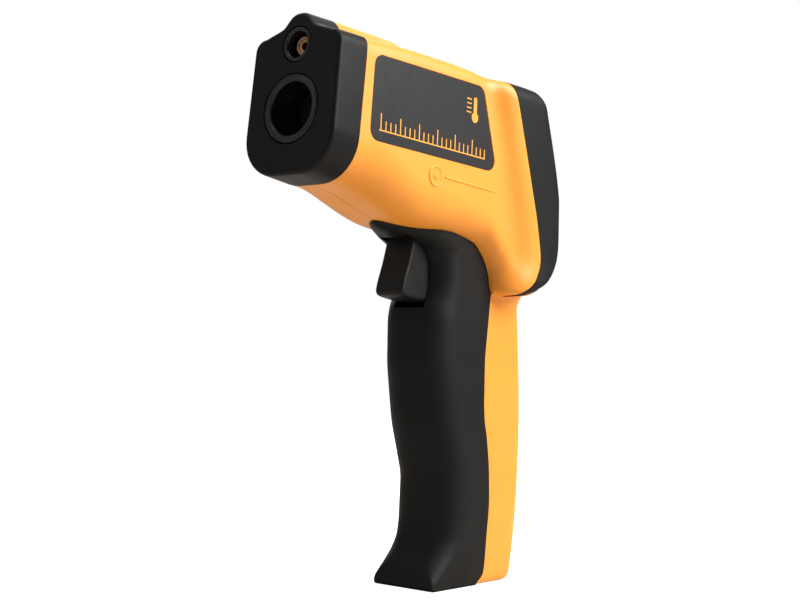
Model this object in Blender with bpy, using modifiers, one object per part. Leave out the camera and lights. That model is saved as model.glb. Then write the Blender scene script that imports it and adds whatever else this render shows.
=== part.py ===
"""Pistol-grip infrared thermometer, built from its separate parts.

Lengths below are in millimetres and become metres when a mesh is made. The handle stands on z = 0,
the barrel points along -X, the left side faces -Y and the joint between the two housing halves is y = 0.
"""
import math

import bmesh
import bpy
from mathutils import Matrix, Vector

MM = 0.001
GAP = 0.3            # clearance between touching pieces
SHELL = 1.8          # wall thickness of the moulded shells
NOSE_X = -50.5       # furthest point of the nose
REAR_X = 50.5        # furthest point of the keys
TOP_Z = 153.0        # top of the sight ridge
HALF_WIDTH = 21.5    # half of the width at the display cap

NOSE_LEAN = math.tan(math.radians(4.6))      # the nose face leans back by this slope
FACE_TILT = math.radians(18.3)               # lean of the display face
FACE_NORMAL = Vector((math.cos(FACE_TILT), 0.0, math.sin(FACE_TILT)))
FACE_UP = Vector((-math.sin(FACE_TILT), 0.0, math.cos(FACE_TILT)))
FACE_POINT = Vector((45.0, 0.0, 130.9))      # centre of the display on the cap's outer face

IR_AXIS_Z = 127.4
LASER_AXIS_Z = 144.4
TRIGGER_PIVOT = (2.0, 104.0)
DOOR_PIVOT = (9.5, 4.2)
BATTERY_LOW = (15.9, -8.75, 9.6)
BATTERY_HIGH = (42.4, 8.75, 56.0)

ORANGE = (1.0, 0.36, 0.05)
BLACK = (0.025, 0.025, 0.027)
SOFT_BLACK = (0.03, 0.03, 0.032)


# ---------------------------------------------------------------- outlines of the body

def along(table, value):
    """Smooth value read from a table of (key, value) pairs with rising keys."""
    if value <= table[0][0]:
        return table[0][1]
    if value >= table[-1][0]:
        return table[-1][1]
    index = 0
    while table[index + 1][0] < value:
        index += 1
    (k1, v1), (k2, v2) = table[index], table[index + 1]
    k0, v0 = table[max(index - 1, 0)]
    k3, v3 = table[min(index + 2, len(table) - 1)]
    slope = (v2 - v1) / (k2 - k1)
    before = (v1 - v0) / (k1 - k0) if k1 > k0 else slope
    after = (v3 - v2) / (k3 - k2) if k3 > k2 else slope
    start = 0.0 if before * slope <= 0 else 2 * before * slope / (before + slope)
    end = 0.0 if after * slope <= 0 else 2 * after * slope / (after + slope)
    u = (value - k1) / (k2 - k1)
    width = k2 - k1
    return (v1 * (1 + 2 * u) * (1 - u) ** 2 + v2 * u * u * (3 - 2 * u)
            + start * width * u * (1 - u) ** 2 - end * width * u * u * (1 - u))


# height, x: the joint between the orange body and the display cap, and the cap's outer face
REAR_EDGE = [(84.7, 32.2), (89.4, 37.0), (95.4, 39.2), (103.9, 37.6), (118.0, 33.0),
             (139.4, 25.3), (147.0, 22.4)]
CAP_FACE = [(84.7, 32.9), (86.2, 38.0), (88.7, 43.0), (92.8, 47.2), (98.0, 49.5), (102.0, 49.9),
            (114.0, 49.9), (117.5, 49.3), (144.0, 40.6), (147.0, 39.6)]

# share of the way from the nose joint to the rear joint: half width, bottom, top, top radius, bottom radius
BARREL = [
    (0.000, 15.4, 108.7, 147.2, 4.0, 11.5),
    (0.060, 15.5, 108.3, 147.4, 4.0, 11.5),
    (0.126, 15.7, 107.3, 147.6, 4.0, 11.3),
    (0.230, 15.9, 104.9, 147.8, 4.0, 10.8),
    (0.330, 16.1, 102.7, 148.0, 4.0, 10.3),
    (0.400, 16.2, 101.5, 148.0, 4.0, 10.1),
    (0.470, 16.35, 100.9, 148.0, 4.0, 10.0),
    (0.560, 16.5, 100.5, 148.0, 4.0, 10.0),
    (0.735, 16.8, 98.7, 147.8, 4.0, 9.0),
    (0.840, 17.0, 91.8, 147.3, 4.2, 7.0),
    (0.890, 17.8, 87.5, 147.0, 4.6, 6.0),
    (0.940, 19.7, 85.3, 146.8, 5.0, 5.0),
    (0.975, 20.7, 84.9, 146.7, 5.0, 4.5),
    (1.000, 21.0, 84.7, 146.6, 5.0, 4.5),
]

# height: front x, front depth, front squareness, rear x, half width
HANDLE = [
    (0.0, 5.9, 3.0, 5.0, 43.6, 10.5),
    (1.0, 4.9, 3.0, 5.0, 45.6, 10.8),
    (2.4, 4.6, 3.2, 5.0, 46.6, 11.0),
    (6.2, 6.6, 3.6, 4.8, 47.5, 11.1),
    (10.0, 10.2, 4.6, 4.2, 48.0, 11.2),
    (14.0, 11.0, 6.0, 3.4, 48.5, 11.2),
    (20.0, 11.1, 8.0, 2.7, 49.0, 11.3),
    (30.0, 10.8, 9.0, 2.4, 49.5, 11.3),
    (38.0, 8.6, 9.5, 2.3, 49.5, 11.4),
    (46.0, 5.6, 10.0, 2.2, 49.2, 11.5),
    (56.0, 3.6, 10.0, 2.2, 48.6, 11.5),
    (66.0, 2.1, 10.0, 2.2, 47.8, 11.4),
    (76.0, 2.0, 9.5, 2.2, 46.9, 11.4),
    (80.0, 2.4, 9.8, 2.2, 46.5, 11.3),
    (82.2, 4.6, 7.9, 2.2, 46.3, 11.3),
    (86.7, 6.1, 6.6, 2.2, 46.0, 11.3),
    (91.0, 5.5, 7.2, 2.2, 46.0, 11.3),
    (95.0, 3.2, 9.6, 2.1, 46.0, 11.3),
    (97.6, -2.2, 13.0, 1.9, 46.0, 11.3),
    (99.0, -7.6, 17.0, 1.7, 46.0, 11.3),
    (100.6, -12.0, 21.0, 1.6, 46.0, 11.3),
    (102.0, -13.8, 22.0, 1.6, 46.0, 11.3),
    (103.0, -14.4, 22.0, 1.6, 46.0, 11.3),
]
HANDLE_REAR_DEPTH = 7.0
HANDLE_REAR_SQUARENESS = 2.8

# side joint between the grip cover and the orange back of the handle: height, x
COVER_EDGE = [(-5.0, 26.1), (0.0, 26.1), (3.5, 29.1), (12.7, 29.8), (23.8, 30.5), (31.3, 30.1), (42.5, 28.1),
              (47.9, 26.6), (54.4, 26.0), (64.2, 25.9), (74.1, 26.7), (84.0, 27.7), (112.0, 28.2)]

# height, half width of the nose outline, from its bottom centre to its top centre
NOSE_OUTLINE = [
    (109.4, 0.0), (109.4, 5.0), (110.1, 8.3), (111.9, 11.3), (114.6, 13.7), (118.0, 15.1), (121.5, 15.5),
    (130.0, 15.4), (144.4, 14.8), (146.2, 14.0), (147.0, 12.4), (148.2, 9.0), (149.3, 5.9), (150.6, 4.7),
    (152.0, 3.2), (152.8, 1.7), (152.9, 0.0),
]


def nose_joint_x(z):
    """x of the joint between the nose cap and the orange body at height z."""
    return -38.7 + NOSE_LEAN * (z - 126.0)


def nose_face_x(z):
    """x of the nose face at height z."""
    return NOSE_X + NOSE_LEAN * (z - 109.2)


# ---------------------------------------------------------------- mesh helpers

def collection(name):
    made = bpy.data.collections.new(name)
    bpy.context.scene.collection.children.link(made)
    return made


def add_object(name, mesh):
    made = bpy.data.objects.new(name, mesh)
    PARTS.objects.link(made)
    return made


def store(body, mesh):
    """Turn a bmesh's faces outwards and write it to a mesh."""
    body.normal_update()
    bmesh.ops.recalc_face_normals(body, faces=body.faces)
    if body.calc_volume(signed=True) < 0:
        bmesh.ops.reverse_faces(body, faces=body.faces)
    body.to_mesh(mesh)
    body.free()


def mesh_object(name, points, faces):
    """Mesh object from points in millimetres, with its faces turned outwards."""
    mesh = bpy.data.meshes.new(name)
    mesh.from_pydata([tuple(value * MM for value in point) for point in points], [], faces)
    body = bmesh.new()
    body.from_mesh(mesh)
    bmesh.ops.remove_doubles(body, verts=body.verts, dist=1e-7)
    bmesh.ops.dissolve_degenerate(body, edges=body.edges, dist=1e-7)
    bmesh.ops.triangulate(body, faces=body.faces)
    store(body, mesh)
    return add_object(name, mesh)


def primitive(name, make, matrix):
    """Object from one bmesh primitive, placed by a matrix in millimetres."""
    body = bmesh.new()
    make(body)
    bmesh.ops.transform(body, matrix=Matrix.Scale(MM, 4) @ matrix, verts=body.verts)
    mesh = bpy.data.meshes.new(name)
    store(body, mesh)
    return add_object(name, mesh)


def box(name, low, high, turn=Matrix.Identity(4)):
    """Box between two corners, then moved by turn."""
    low, high = Vector(low), Vector(high)
    size = high - low
    place = turn @ Matrix.Translation((low + high) / 2) @ Matrix.Diagonal((*size, 1.0))
    return primitive(name, lambda body: bmesh.ops.create_cube(body, size=1.0), place)


def cylinder(name, start, end, radius, sides=24):
    """Cylinder between two points."""
    start, end = Vector(start), Vector(end)
    axis = end - start
    turn = axis.to_track_quat("Z", "Y").to_matrix().to_4x4()
    place = Matrix.Translation((start + end) / 2) @ turn
    return primitive(name, lambda body: bmesh.ops.create_cone(
        body, cap_ends=True, segments=sides, radius1=radius, radius2=radius, depth=axis.length), place)


def curve_to_mesh(made):
    """Mesh object with the shape of a curve object, which is removed."""
    depsgraph = bpy.context.evaluated_depsgraph_get()
    mesh = bpy.data.meshes.new_from_object(made.evaluated_get(depsgraph))
    body = bmesh.new()
    body.from_mesh(mesh)
    bmesh.ops.remove_doubles(body, verts=body.verts, dist=1e-7)
    body.transform(made.matrix_world)
    store(body, mesh)
    name, old = made.name, made.data
    bpy.data.objects.remove(made)
    bpy.data.curves.remove(old)
    return add_object(name, mesh)


def plate(name, outline, low, high, across="Y"):
    """Flat outline drawn on XZ and extruded along Y, or on YZ and extruded along X."""
    curve = bpy.data.curves.new(name, "CURVE")
    curve.dimensions = "2D"
    curve.fill_mode = "BOTH"
    curve.extrude = (high - low) / 2 * MM
    spline = curve.splines.new("POLY")
    spline.points.add(len(outline) - 1)
    for point, (u, v) in zip(spline.points, outline):
        point.co = (u * MM, v * MM, 0.0, 1.0)
    spline.use_cyclic_u = True
    made = add_object(name, curve)
    middle = (low + high) / 2 * MM
    if across == "Y":
        made.matrix_world = Matrix.Translation((0, middle, 0)) @ Matrix.Rotation(math.pi / 2, 4, "X")
    else:
        turn = Matrix(((0, 0, 1, 0), (1, 0, 0, 0), (0, 1, 0, 0), (0, 0, 0, 1)))
        made.matrix_world = Matrix.Translation((middle, 0, 0)) @ turn
    bpy.context.view_layer.update()
    return curve_to_mesh(made)


def tube(name, points, radius, resolution=1):
    """Round wire through a list of points."""
    curve = bpy.data.curves.new(name, "CURVE")
    curve.dimensions = "3D"
    curve.bevel_depth = radius * MM
    curve.bevel_resolution = resolution
    curve.use_fill_caps = True
    spline = curve.splines.new("POLY")
    spline.points.add(len(points) - 1)
    for target, point in zip(spline.points, points):
        target.co = (point[0] * MM, point[1] * MM, point[2] * MM, 1.0)
    return curve_to_mesh(add_object(name, curve))


def turned(name, profile, start, direction, sides=24):
    """Solid of revolution: profile is (radius, distance) pairs from the axis back to the axis."""
    mesh = bpy.data.meshes.new(name)
    last = len(profile) - 1
    points = [(radius * MM, 0.0, distance * MM) for radius, distance in profile]
    mesh.from_pydata(points, [(i, i + 1) for i in range(last)], [])
    made = add_object(name, mesh)
    screw = made.modifiers.new("turn", "SCREW")
    screw.steps = sides
    screw.render_steps = sides
    screw.use_merge_vertices = True
    screw.merge_threshold = 1e-6
    turn = Vector(direction).to_track_quat("Z", "Y").to_matrix().to_4x4()
    made.matrix_world = Matrix.Translation(Vector(start) * MM) @ turn
    bpy.context.view_layer.update()
    return baked(made)


def baked(made):
    """The same object with its modifiers applied and its placing moved into the mesh."""
    bpy.context.view_layer.update()
    depsgraph = bpy.context.evaluated_depsgraph_get()
    mesh = bpy.data.meshes.new_from_object(made.evaluated_get(depsgraph))
    body = bmesh.new()
    body.from_mesh(mesh)
    body.transform(made.matrix_world)
    bmesh.ops.remove_doubles(body, verts=body.verts, dist=8e-6)
    bmesh.ops.dissolve_degenerate(body, edges=body.edges, dist=1e-6)
    store(body, mesh)
    name = made.name
    bpy.data.objects.remove(made)
    result = add_object(name, mesh)
    result.name = name
    return result


def combine(made, tools, operation):
    """Cut, join or trim an object with each tool in turn; the tools are used up."""
    for tool in tools:
        step = made.modifiers.new(operation.lower(), "BOOLEAN")
        step.operation = operation
        step.solver = "EXACT"
        step.object = tool
        made = baked(made)
        bpy.data.objects.remove(tool)
    return made


def cut(made, *tools):
    return combine(made, tools, "DIFFERENCE")


def join(made, *tools):
    return combine(made, tools, "UNION")


def trim(made, *tools):
    return combine(made, tools, "INTERSECT")


def rounded(made, width, segments=2, angle=40.0):
    """Round the sharp edges of an object."""
    step = made.modifiers.new("round", "BEVEL")
    step.width = width * MM
    step.segments = segments
    step.limit_method = "ANGLE"
    step.angle_limit = math.radians(angle)
    return baked(made)


def ring_loft(name, rings):
    """Closed solid through rings of points that mirror across y = 0 and start on it."""
    count = len(rings[0])
    points = [point for ring in rings for point in ring]
    faces = []
    for level in range(len(rings) - 1):
        low, high = level * count, (level + 1) * count
        for index in range(count):
            following = (index + 1) % count
            faces.append((low + index, low + following, high + following, high + index))
    for base in (0, (len(rings) - 1) * count):
        for index in range(count // 2):
            corners = [index, index + 1, (count - index - 1) % count, (count - index) % count]
            unique = list(dict.fromkeys(corners))
            if len(unique) > 2:
                faces.append(tuple(base + corner for corner in unique))
    return mesh_object(name, points, faces)


# ---------------------------------------------------------------- body lofts

CORNER_STEPS = 4
SIDE_STEPS = 8


def section(half_width, bottom, top, top_radius, bottom_radius):
    """Right half of a barrel section as (y, z) pairs from the bottom centre to the top centre."""
    points = [(0.0, bottom)]
    for step in range(CORNER_STEPS + 1):
        angle = math.pi / 2 * step / CORNER_STEPS
        points.append((half_width - bottom_radius + bottom_radius * math.sin(angle),
                       bottom + bottom_radius - bottom_radius * math.cos(angle)))
    low, high = bottom + bottom_radius, top - top_radius
    for step in range(1, SIDE_STEPS):
        points.append((half_width, low + (high - low) * step / SIDE_STEPS))
    for step in range(CORNER_STEPS + 1):
        angle = math.pi / 2 * step / CORNER_STEPS
        points.append((half_width - top_radius + top_radius * math.cos(angle),
                       top - top_radius + top_radius * math.sin(angle)))
    points.append((0.0, top))
    return points


def mirrored_ring(half, x_at):
    """Whole ring from a right half, with x given by height."""
    right = [(x_at(z), y, z) for y, z in half]
    left = [(x_at(z), -y, z) for y, z in reversed(half[1:-1])]
    return right + left


def barrel(name, grow=0.0, first=0.0, last=1.0):
    """The orange body's barrel, grown or shrunk all round, between two shares of its length."""
    shares = [row[0] for row in BARREL]
    stops = sorted({first, last, *(share for share in shares if first < share < last)})
    rings = []
    for share in stops:
        values = [along([(row[0], row[column]) for row in BARREL], share) for column in range(1, 6)]
        half_width, bottom, top, top_radius, bottom_radius = values
        half = section(half_width + grow, bottom - grow, top + grow,
                       max(top_radius + grow, 1.0), max(bottom_radius + grow, 1.0))

        def x_at(z, share=share):
            start, end = nose_joint_x(z), along(REAR_EDGE, z)
            return start + (end - start) * share
        rings.append(mirrored_ring(half, x_at))
    return ring_loft(name, rings)


def display_cap_solid(name, inset=0.0, front=0.0, bottom_lift=0.0):
    """The display cap as a solid: a continuation of the barrel with rounded rear edges."""
    # share of the depth: half width, bottom, top, corner radius
    stations = [
        (front, 21.05, 84.7, 146.6, 5.0),
        (0.45, 21.4, 84.7, 146.6, 5.0),
        (0.75, HALF_WIDTH, 84.7, 146.5, 5.0),
        (0.90, 21.1, 84.9, 146.0, 5.0),
        (0.97, 20.2, 85.3, 145.2, 5.0),
        (1.00, 18.9, 86.0, 144.0, 4.5),
    ]
    rings = []
    for share, half_width, bottom, top, radius in stations:
        half = section(half_width - inset, bottom + inset + bottom_lift, top - inset,
                       max(radius - inset, 1.0), max(radius - inset, 1.0))

        def x_at(z, share=share):
            start, end = along(REAR_EDGE, z) + GAP, along(CAP_FACE, z) - inset
            return start + (end - start) * share
        rings.append(mirrored_ring(half, x_at))
    return ring_loft(name, rings)


FRONT_STEPS = 7
REAR_STEPS = 5


def handle_ring(z, front, depth, squareness, rear, half_width):
    """Level section of the handle: a rounded front and a rounded rear."""
    half = []
    for step in range(FRONT_STEPS + 1):
        angle = math.pi / 2 * step / FRONT_STEPS
        half.append((front + depth * (1 - math.cos(angle) ** (2 / squareness)),
                     half_width * math.sin(angle) ** (2 / squareness)))
    power = 2 / HANDLE_REAR_SQUARENESS
    for step in range(REAR_STEPS + 1):
        angle = math.pi / 2 * step / REAR_STEPS
        half.append((rear - HANDLE_REAR_DEPTH * (1 - math.sin(angle) ** power),
                     half_width * max(math.cos(angle), 0.0) ** power))
    half[-1] = (rear, 0.0)
    right = [(x, y, z) for x, y in half]
    left = [(x, -y, z) for x, y in reversed(half[1:-1])]
    return right + left


def handle(name, grow=0.0):
    """The whole handle, both its grip cover and its orange back."""
    rings = [handle_ring(z, front - grow, depth, square, rear + grow, width + grow)
             for z, front, depth, square, rear, width in HANDLE]
    return ring_loft(name, rings)


def handle_hollow(name):
    """The space inside the handle, which opens upwards into the barrel."""
    rings = [handle_ring(SHELL, 9.0, 3.0, 4.0, 42.6, 11.0 - SHELL)]
    for z, front, depth, square, rear, width in HANDLE:
        if 6.0 < z < 96.0:
            rings.append(handle_ring(z, front + SHELL, depth - 1.0, square, rear - SHELL, width - SHELL))
    rings.append(handle_ring(104.0, 7.5, 9.0, 2.2, 44.2, 11.3 - SHELL))
    return ring_loft(name, rings)


def edge_points(table, shift=0.0, steps=16):
    """Points (x, z) along a (height, x) table, rising."""
    low, high = table[0][0], table[-1][0]
    heights = [low + (high - low) * step / steps for step in range(steps + 1)]
    return [(along(table, z) + shift, z) for z in heights]


def cover_zone(name, shift):
    """Everything in front of the side joint between the grip cover and the handle's back."""
    edge = edge_points(COVER_EDGE, shift, 24)
    return plate(name, edge + [(-30.0, 112.0), (-30.0, -5.0)], -30.0, 30.0)


def half_space(name, side, offset):
    """A block that covers one side of the middle plane, starting at a distance from it."""
    ends = sorted((side * offset, side * 40.0))
    return box(name, (-80.0, ends[0], -20.0), (80.0, ends[1], 180.0))


# ---------------------------------------------------------------- housing halves

SCREW_POINTS = [(-29.0, 113.8), (10.0, 141.0), (37.0, 73.0), (36.5, 4.2)]   # x, z of the housing screws
SCREW_SEATS = [11.6, 13.2, 8.2, 8.0]         # y of the seats under their heads
BOSS_RADIUS = 3.1
PILOT_RADIUS = 1.15
HEAD_RADIUS = 1.9
BOSS_WALL = [14.5, 15.5, 10.3, 9.9]          # depth of the wall that each boss grows from
ROOT = 0.7           # bosses and ribs reach to this depth below the barrel's outer surface
PIVOT_BOSS_RADIUS = 2.8
PIVOT_BORE_RADIUS = 1.5
PIN_RADIUS = 1.25
RIB_BORE_RADIUS = 9.2
RIB_PLACES = (-34.5, -23.0)
LABEL_OUTLINE_Z = (119.8, 142.9)
LABEL_CORNER = 3.0
LABEL_MIDDLE = (-9.0, 131.3)


def ridge(name):
    """Raised sight ridge along the top of the barrel."""
    # x, top, half width at the top
    stations = [(-36.2, 152.9, 4.0), (-30.0, TOP_Z, 4.0), (-11.0, TOP_Z, 4.0), (-7.5, 151.8, 3.6),
                (-3.0, 147.2, 3.0)]
    rings = []
    for x, top, half_width in stations:
        half = [(0.0, 146.0), (6.6, 146.0), (6.4, min(148.6, top)),
                (half_width + 1.0, max(top - 1.3, 146.6)),
                (half_width - 0.6, top - 0.2), (0.0, top)]
        lean = NOSE_LEAN if x < -36.0 else 0.0
        rings.append(mirrored_ring(half, lambda z, x=x, lean=lean: x + lean * (z - 152.9)))
    return ring_loft(name, rings)


def side_half_width(x):
    """Half width of the flat part of the barrel's side at x."""
    return 16.1 + (16.8 - 16.1) * (x + 15.2) / 31.4


def label_outline():
    """Outline (x, z) of the side label, with rounded corners."""
    corners = [(-35.2, LABEL_OUTLINE_Z[0] + 0.7), (20.3, LABEL_OUTLINE_Z[0] - 0.3),
               (12.6, LABEL_OUTLINE_Z[1]), (-34.0, LABEL_OUTLINE_Z[1])]
    points = []
    for index, corner in enumerate(corners):
        here = Vector(corner)
        back = (Vector(corners[index - 1]) - here).normalized()
        ahead = (Vector(corners[(index + 1) % len(corners)]) - here).normalized()
        half_angle = back.angle(ahead) / 2
        reach = LABEL_CORNER / math.tan(half_angle)
        centre = here + (back + ahead).normalized() * LABEL_CORNER / math.sin(half_angle)
        first = here + back * reach - centre
        last = here + ahead * reach - centre
        for step in range(4):
            mix = first.lerp(last, step / 3).normalized() * LABEL_CORNER
            points.append(tuple(centre + mix))
    return points


def label_solid(name, side, depth_in, depth_out, grow=0.0):
    """Thin slab that follows the barrel's side between two depths from its surface."""
    middle = Vector(LABEL_MIDDLE)
    rings = []
    for depth in (depth_in, depth_out):
        ring = []
        for x, z in label_outline():
            away = Vector((x, z)) - middle
            spot = middle + away * (1.0 + grow / away.length)
            ring.append((spot.x, side * (side_half_width(spot.x) + depth), spot.y))
        rings.append(ring)
    count = len(rings[0])
    points = rings[0] + rings[1]
    faces = [(i, (i + 1) % count, count + (i + 1) % count, count + i) for i in range(count)]
    faces += [tuple(range(count)), tuple(range(count, 2 * count))]
    return mesh_object(name, points, faces)


def rib_plate(name, x, side):
    """Upright rib that holds the lens tube from one side."""
    outline = [(-side * 1.0, 105.5), (side * 15.0, 112.0), (side * 15.0, 138.0), (-side * 1.0, 138.0)]
    rib = plate(name, outline, x - 0.8, x + 0.8, across="X")
    bore = cylinder(name + "_bore", (x - 5, 0, IR_AXIS_Z), (x + 5, 0, IR_AXIS_Z), RIB_BORE_RADIUS, 32)
    return cut(rib, bore)


def housing_half(name, side):
    """One orange shell: half the barrel, half the handle's back, bosses, ribs and a label recess."""
    shell = join(barrel(name), ridge(name + "_ridge"))
    back = cut(handle(name + "_back"), cover_zone(name + "_cover", GAP), cap_zone(name + "_cap"))
    shell = join(shell, back)
    shell = cut(shell, barrel(name + "_hollow", grow=-SHELL - 0.1, first=-0.06, last=1.06))
    shell = cut(shell, handle_hollow(name + "_handle_hollow"))
    laser_way = cylinder(name + "_laser_way", (-45, 0, LASER_AXIS_Z), (-27, 0, LASER_AXIS_Z), 3.6, 20)
    shell = cut(shell, laser_way)
    shell = cut(shell, box(name + "_trigger_slot", (-5.5, -5.5, 94.0), (14.0, 5.5, 103.5)))
    shell = join(shell, box(name + "_sole", (14.6, -9.0, 0.0), (30.0, 9.0, SHELL + 0.1)))
    for index, ((x, z), wall) in enumerate(zip(SCREW_POINTS, BOSS_WALL)):
        boss = cylinder(f"{name}_boss_{index}", (x, -side, z), (x, side * wall, z), BOSS_RADIUS, 16)
        if z > 100.0:
            boss = trim(boss, barrel(f"{name}_boss_room_{index}", grow=-ROOT))
        shell = join(shell, boss)
    for index, x in enumerate(RIB_PLACES):
        rib = rib_plate(f"{name}_rib_{index}", x, side)
        shell = join(shell, trim(rib, barrel(f"{name}_rib_room_{index}", grow=-ROOT)))
    pivot_x, pivot_z = TRIGGER_PIVOT
    pivot_boss = cylinder(name + "_pivot_boss", (pivot_x, side * 5.8, pivot_z),
                          (pivot_x, side * 16.0, pivot_z), PIVOT_BOSS_RADIUS, 16)
    shell = join(shell, trim(pivot_boss, barrel(name + "_pivot_room", grow=-ROOT)))
    shell = trim(shell, half_space(name + "_side", side, GAP / 2))
    shell = cut(shell, cylinder(name + "_pivot_bore", (pivot_x, side * 5.0, pivot_z),
                                (pivot_x, side * 9.4, pivot_z), PIVOT_BORE_RADIUS, 16))
    for index, (x, z) in enumerate(SCREW_POINTS):
        if side < 0:
            pilot = cylinder(f"{name}_pilot_{index}", (x, 1.0, z), (x, -7.6, z), PILOT_RADIUS, 12)
            shell = cut(shell, pilot)
        else:
            way = cylinder(f"{name}_way_{index}", (x, -1.0, z), (x, 30.0, z), PILOT_RADIUS + 0.15, 12)
            well = cylinder(f"{name}_head_{index}", (x, SCREW_SEATS[index], z), (x, 30.0, z),
                            HEAD_RADIUS + 0.3, 16)
            shell = cut(shell, way, well)
    return cut(shell, label_solid(name + "_recess", side, -0.6, 3.0, grow=0.25))


def cap_zone(name):
    """The display cap's space plus the clearance around it, across the handle's width."""
    outline = [(32.0, 84.3), (37.8, 85.8), (43.0, 88.3), (47.4, 92.4), (60.0, 97.0)]
    outline += [(60.0, 112.0), (41.0, 112.0), (39.4, 96.0), (37.2, 89.4)]
    return plate(name, outline, -30.0, 30.0)


# ---------------------------------------------------------------- nose

NOSE_MIDDLE_Z = 129.0
NOSE_HALF_WIDTH = 15.5
NOSE_HALF_HEIGHT = 22.0


def nose_ring(scale_by, x_at):
    """Ring of the nose outline, shrunk about the middle of the nose by a distance."""
    half = []
    for z, y in NOSE_OUTLINE:
        shrink_y = max(1.0 - scale_by / NOSE_HALF_WIDTH, 0.0)
        shrink_z = 1.0 - scale_by / NOSE_HALF_HEIGHT
        half.append((y * shrink_y, NOSE_MIDDLE_Z + (z - NOSE_MIDDLE_Z) * shrink_z))
    return mirrored_ring(half, x_at)


def nose_solid(name, inset, front_offset, rear_offset, round_front):
    """Nose cap solid between an offset behind its face and an offset in front of its rear joint."""
    rings = []
    for depth, shrink in round_front:
        rings.append(nose_ring(inset + shrink, lambda z, d=depth: nose_face_x(z) + front_offset + d))
    rings.append(nose_ring(inset, lambda z: nose_joint_x(z) - rear_offset))
    return ring_loft(name, rings)


def nose_cap():
    """Black cap over the front of the barrel, open at the rear, with the two optical openings."""
    cap = nose_solid("nose_cap", 0.0, 0.0, GAP, [(0.0, 1.3), (0.35, 0.55), (1.2, 0.0)])
    cap = cut(cap, nose_solid("nose_hollow", 2.0, 2.6, -6.0, [(0.0, 0.0)]))
    cap = cut(cap, cylinder("nose_ir_hole", (-60, 0, IR_AXIS_Z), (-40, 0, IR_AXIS_Z), 9.3, 40))
    laser_boss = cylinder("nose_laser_boss", (-48.0, 0, LASER_AXIS_Z), (-39.5, 0, LASER_AXIS_Z), 5.6, 24)
    laser_boss = trim(laser_boss, nose_solid("nose_boss_room", 0.8, 1.0, GAP, [(0.0, 0.0)]))
    cap = join(cap, laser_boss)
    cap = cut(cap, cylinder("nose_laser_hole", (-60, 0, LASER_AXIS_Z), (-30, 0, LASER_AXIS_Z), 3.45, 24))
    cap = cut(cap, cylinder("nose_bezel_seat", (-60, 0, LASER_AXIS_Z), (-45.6, 0, LASER_AXIS_Z), 4.75, 28))
    return cap


def ir_aperture_ring():
    """Ring in the nose around the infrared opening."""
    profile = [(7.0, 0.0), (9.0, 0.0), (9.0, 3.6), (7.4, 3.6), (7.0, 0.0)]
    ring = turned("ir_aperture_ring", profile, (-48.6, 0, IR_AXIS_Z), (1, 0, 0), 40)
    return ring


def laser_bezel():
    profile = [(3.25, 0.0), (4.45, 0.0), (4.45, 1.6), (3.25, 1.6), (3.25, 0.0)]
    return turned("laser_bezel", profile, (-47.4, 0, LASER_AXIS_Z), (1, 0, 0), 28)


# ---------------------------------------------------------------- optics and laser

def lens_tube():
    profile = [(7.2, 0.0), (8.9, 0.0), (8.9, 25.0), (4.6, 25.0), (4.6, 22.5), (6.2, 21.0), (6.2, 8.0),
               (7.2, 8.0), (7.2, 0.0)]
    return turned("lens_tube", profile, (-44.6, 0, IR_AXIS_Z), (1, 0, 0), 32)


def ir_lens():
    profile = [(0.0, 0.0), (3.2, 0.25), (5.4, 0.7), (6.9, 1.3), (6.9, 2.5), (0.0, 2.5)]
    return turned("ir_lens", profile, (-39.6, 0, IR_AXIS_Z), (1, 0, 0), 32)


def thermopile():
    profile = [(0.0, 0.0), (4.1, 0.0), (4.1, 3.2), (4.3, 3.2), (4.3, 4.0), (0.0, 4.0)]
    return turned("thermopile_can", profile, (-24.2, 0, IR_AXIS_Z), (1, 0, 0), 24)


def sensor_board():
    return box("sensor_board", (-18.9, -10.0, 117.0), (-17.3, 10.0, 137.0))


def laser_parts():
    barrel_profile = [(1.3, 0.0), (2.6, 0.0), (3.1, 0.5), (3.1, 12.0), (1.6, 12.0), (1.6, 3.0), (1.3, 3.0),
                      (1.3, 0.0)]
    body = turned("laser_barrel", barrel_profile, (-45.0, 0, LASER_AXIS_Z), (1, 0, 0), 24)
    lens = cylinder("laser_lens", (-41.6, 0, LASER_AXIS_Z), (-40.4, 0, LASER_AXIS_Z), 1.45, 16)
    diode = cylinder("laser_diode", (-39.8, 0, LASER_AXIS_Z), (-33.4, 0, LASER_AXIS_Z), 1.45, 16)
    board = box("laser_board", (-32.6, -2.4, 138.0), (-31.4, 2.4, 145.2))
    return body, lens, diode, board


# ---------------------------------------------------------------- display cap and what it holds

def face_frame(point, depth=0.0):
    """Matrix whose X runs across the cap, Y up its sloping face and Z out of it."""
    origin = point - FACE_NORMAL * depth
    across = Vector((0.0, 1.0, 0.0))
    matrix = Matrix.Identity(4)
    for row in range(3):
        matrix[row][0] = across[row]
        matrix[row][1] = FACE_UP[row]
        matrix[row][2] = FACE_NORMAL[row]
        matrix[row][3] = origin[row]
    return matrix


def face_slab(name, half_x, half_y, depth_low, depth_high, shift_y=0.0):
    """Slab parallel to the sloping face, between two depths below it."""
    return box(name, (-half_x, shift_y - half_y, -depth_high), (half_x, shift_y + half_y, -depth_low),
               face_frame(FACE_POINT))


KEY_PLACES = (-11.0, 0.0, 11.0)      # y of the three keys
KEY_Z = 107.0
KEY_HALF_WIDTH = 4.2
KEY_HALF_HEIGHT = 2.9
BOARD_POSTS = [(-17.1, 0.0), (17.1, 0.0)]    # across and up the face


def key_outline(grow):
    """Oval key outline (y, z) about its own centre."""
    points = []
    for step in range(16):
        angle = 2 * math.pi * step / 16
        cosine, sine = math.cos(angle), math.sin(angle)
        points.append((math.copysign(abs(cosine) ** 0.7, cosine) * (KEY_HALF_WIDTH + grow),
                       math.copysign(abs(sine) ** 0.7, sine) * (KEY_HALF_HEIGHT + grow)))
    return points


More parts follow.
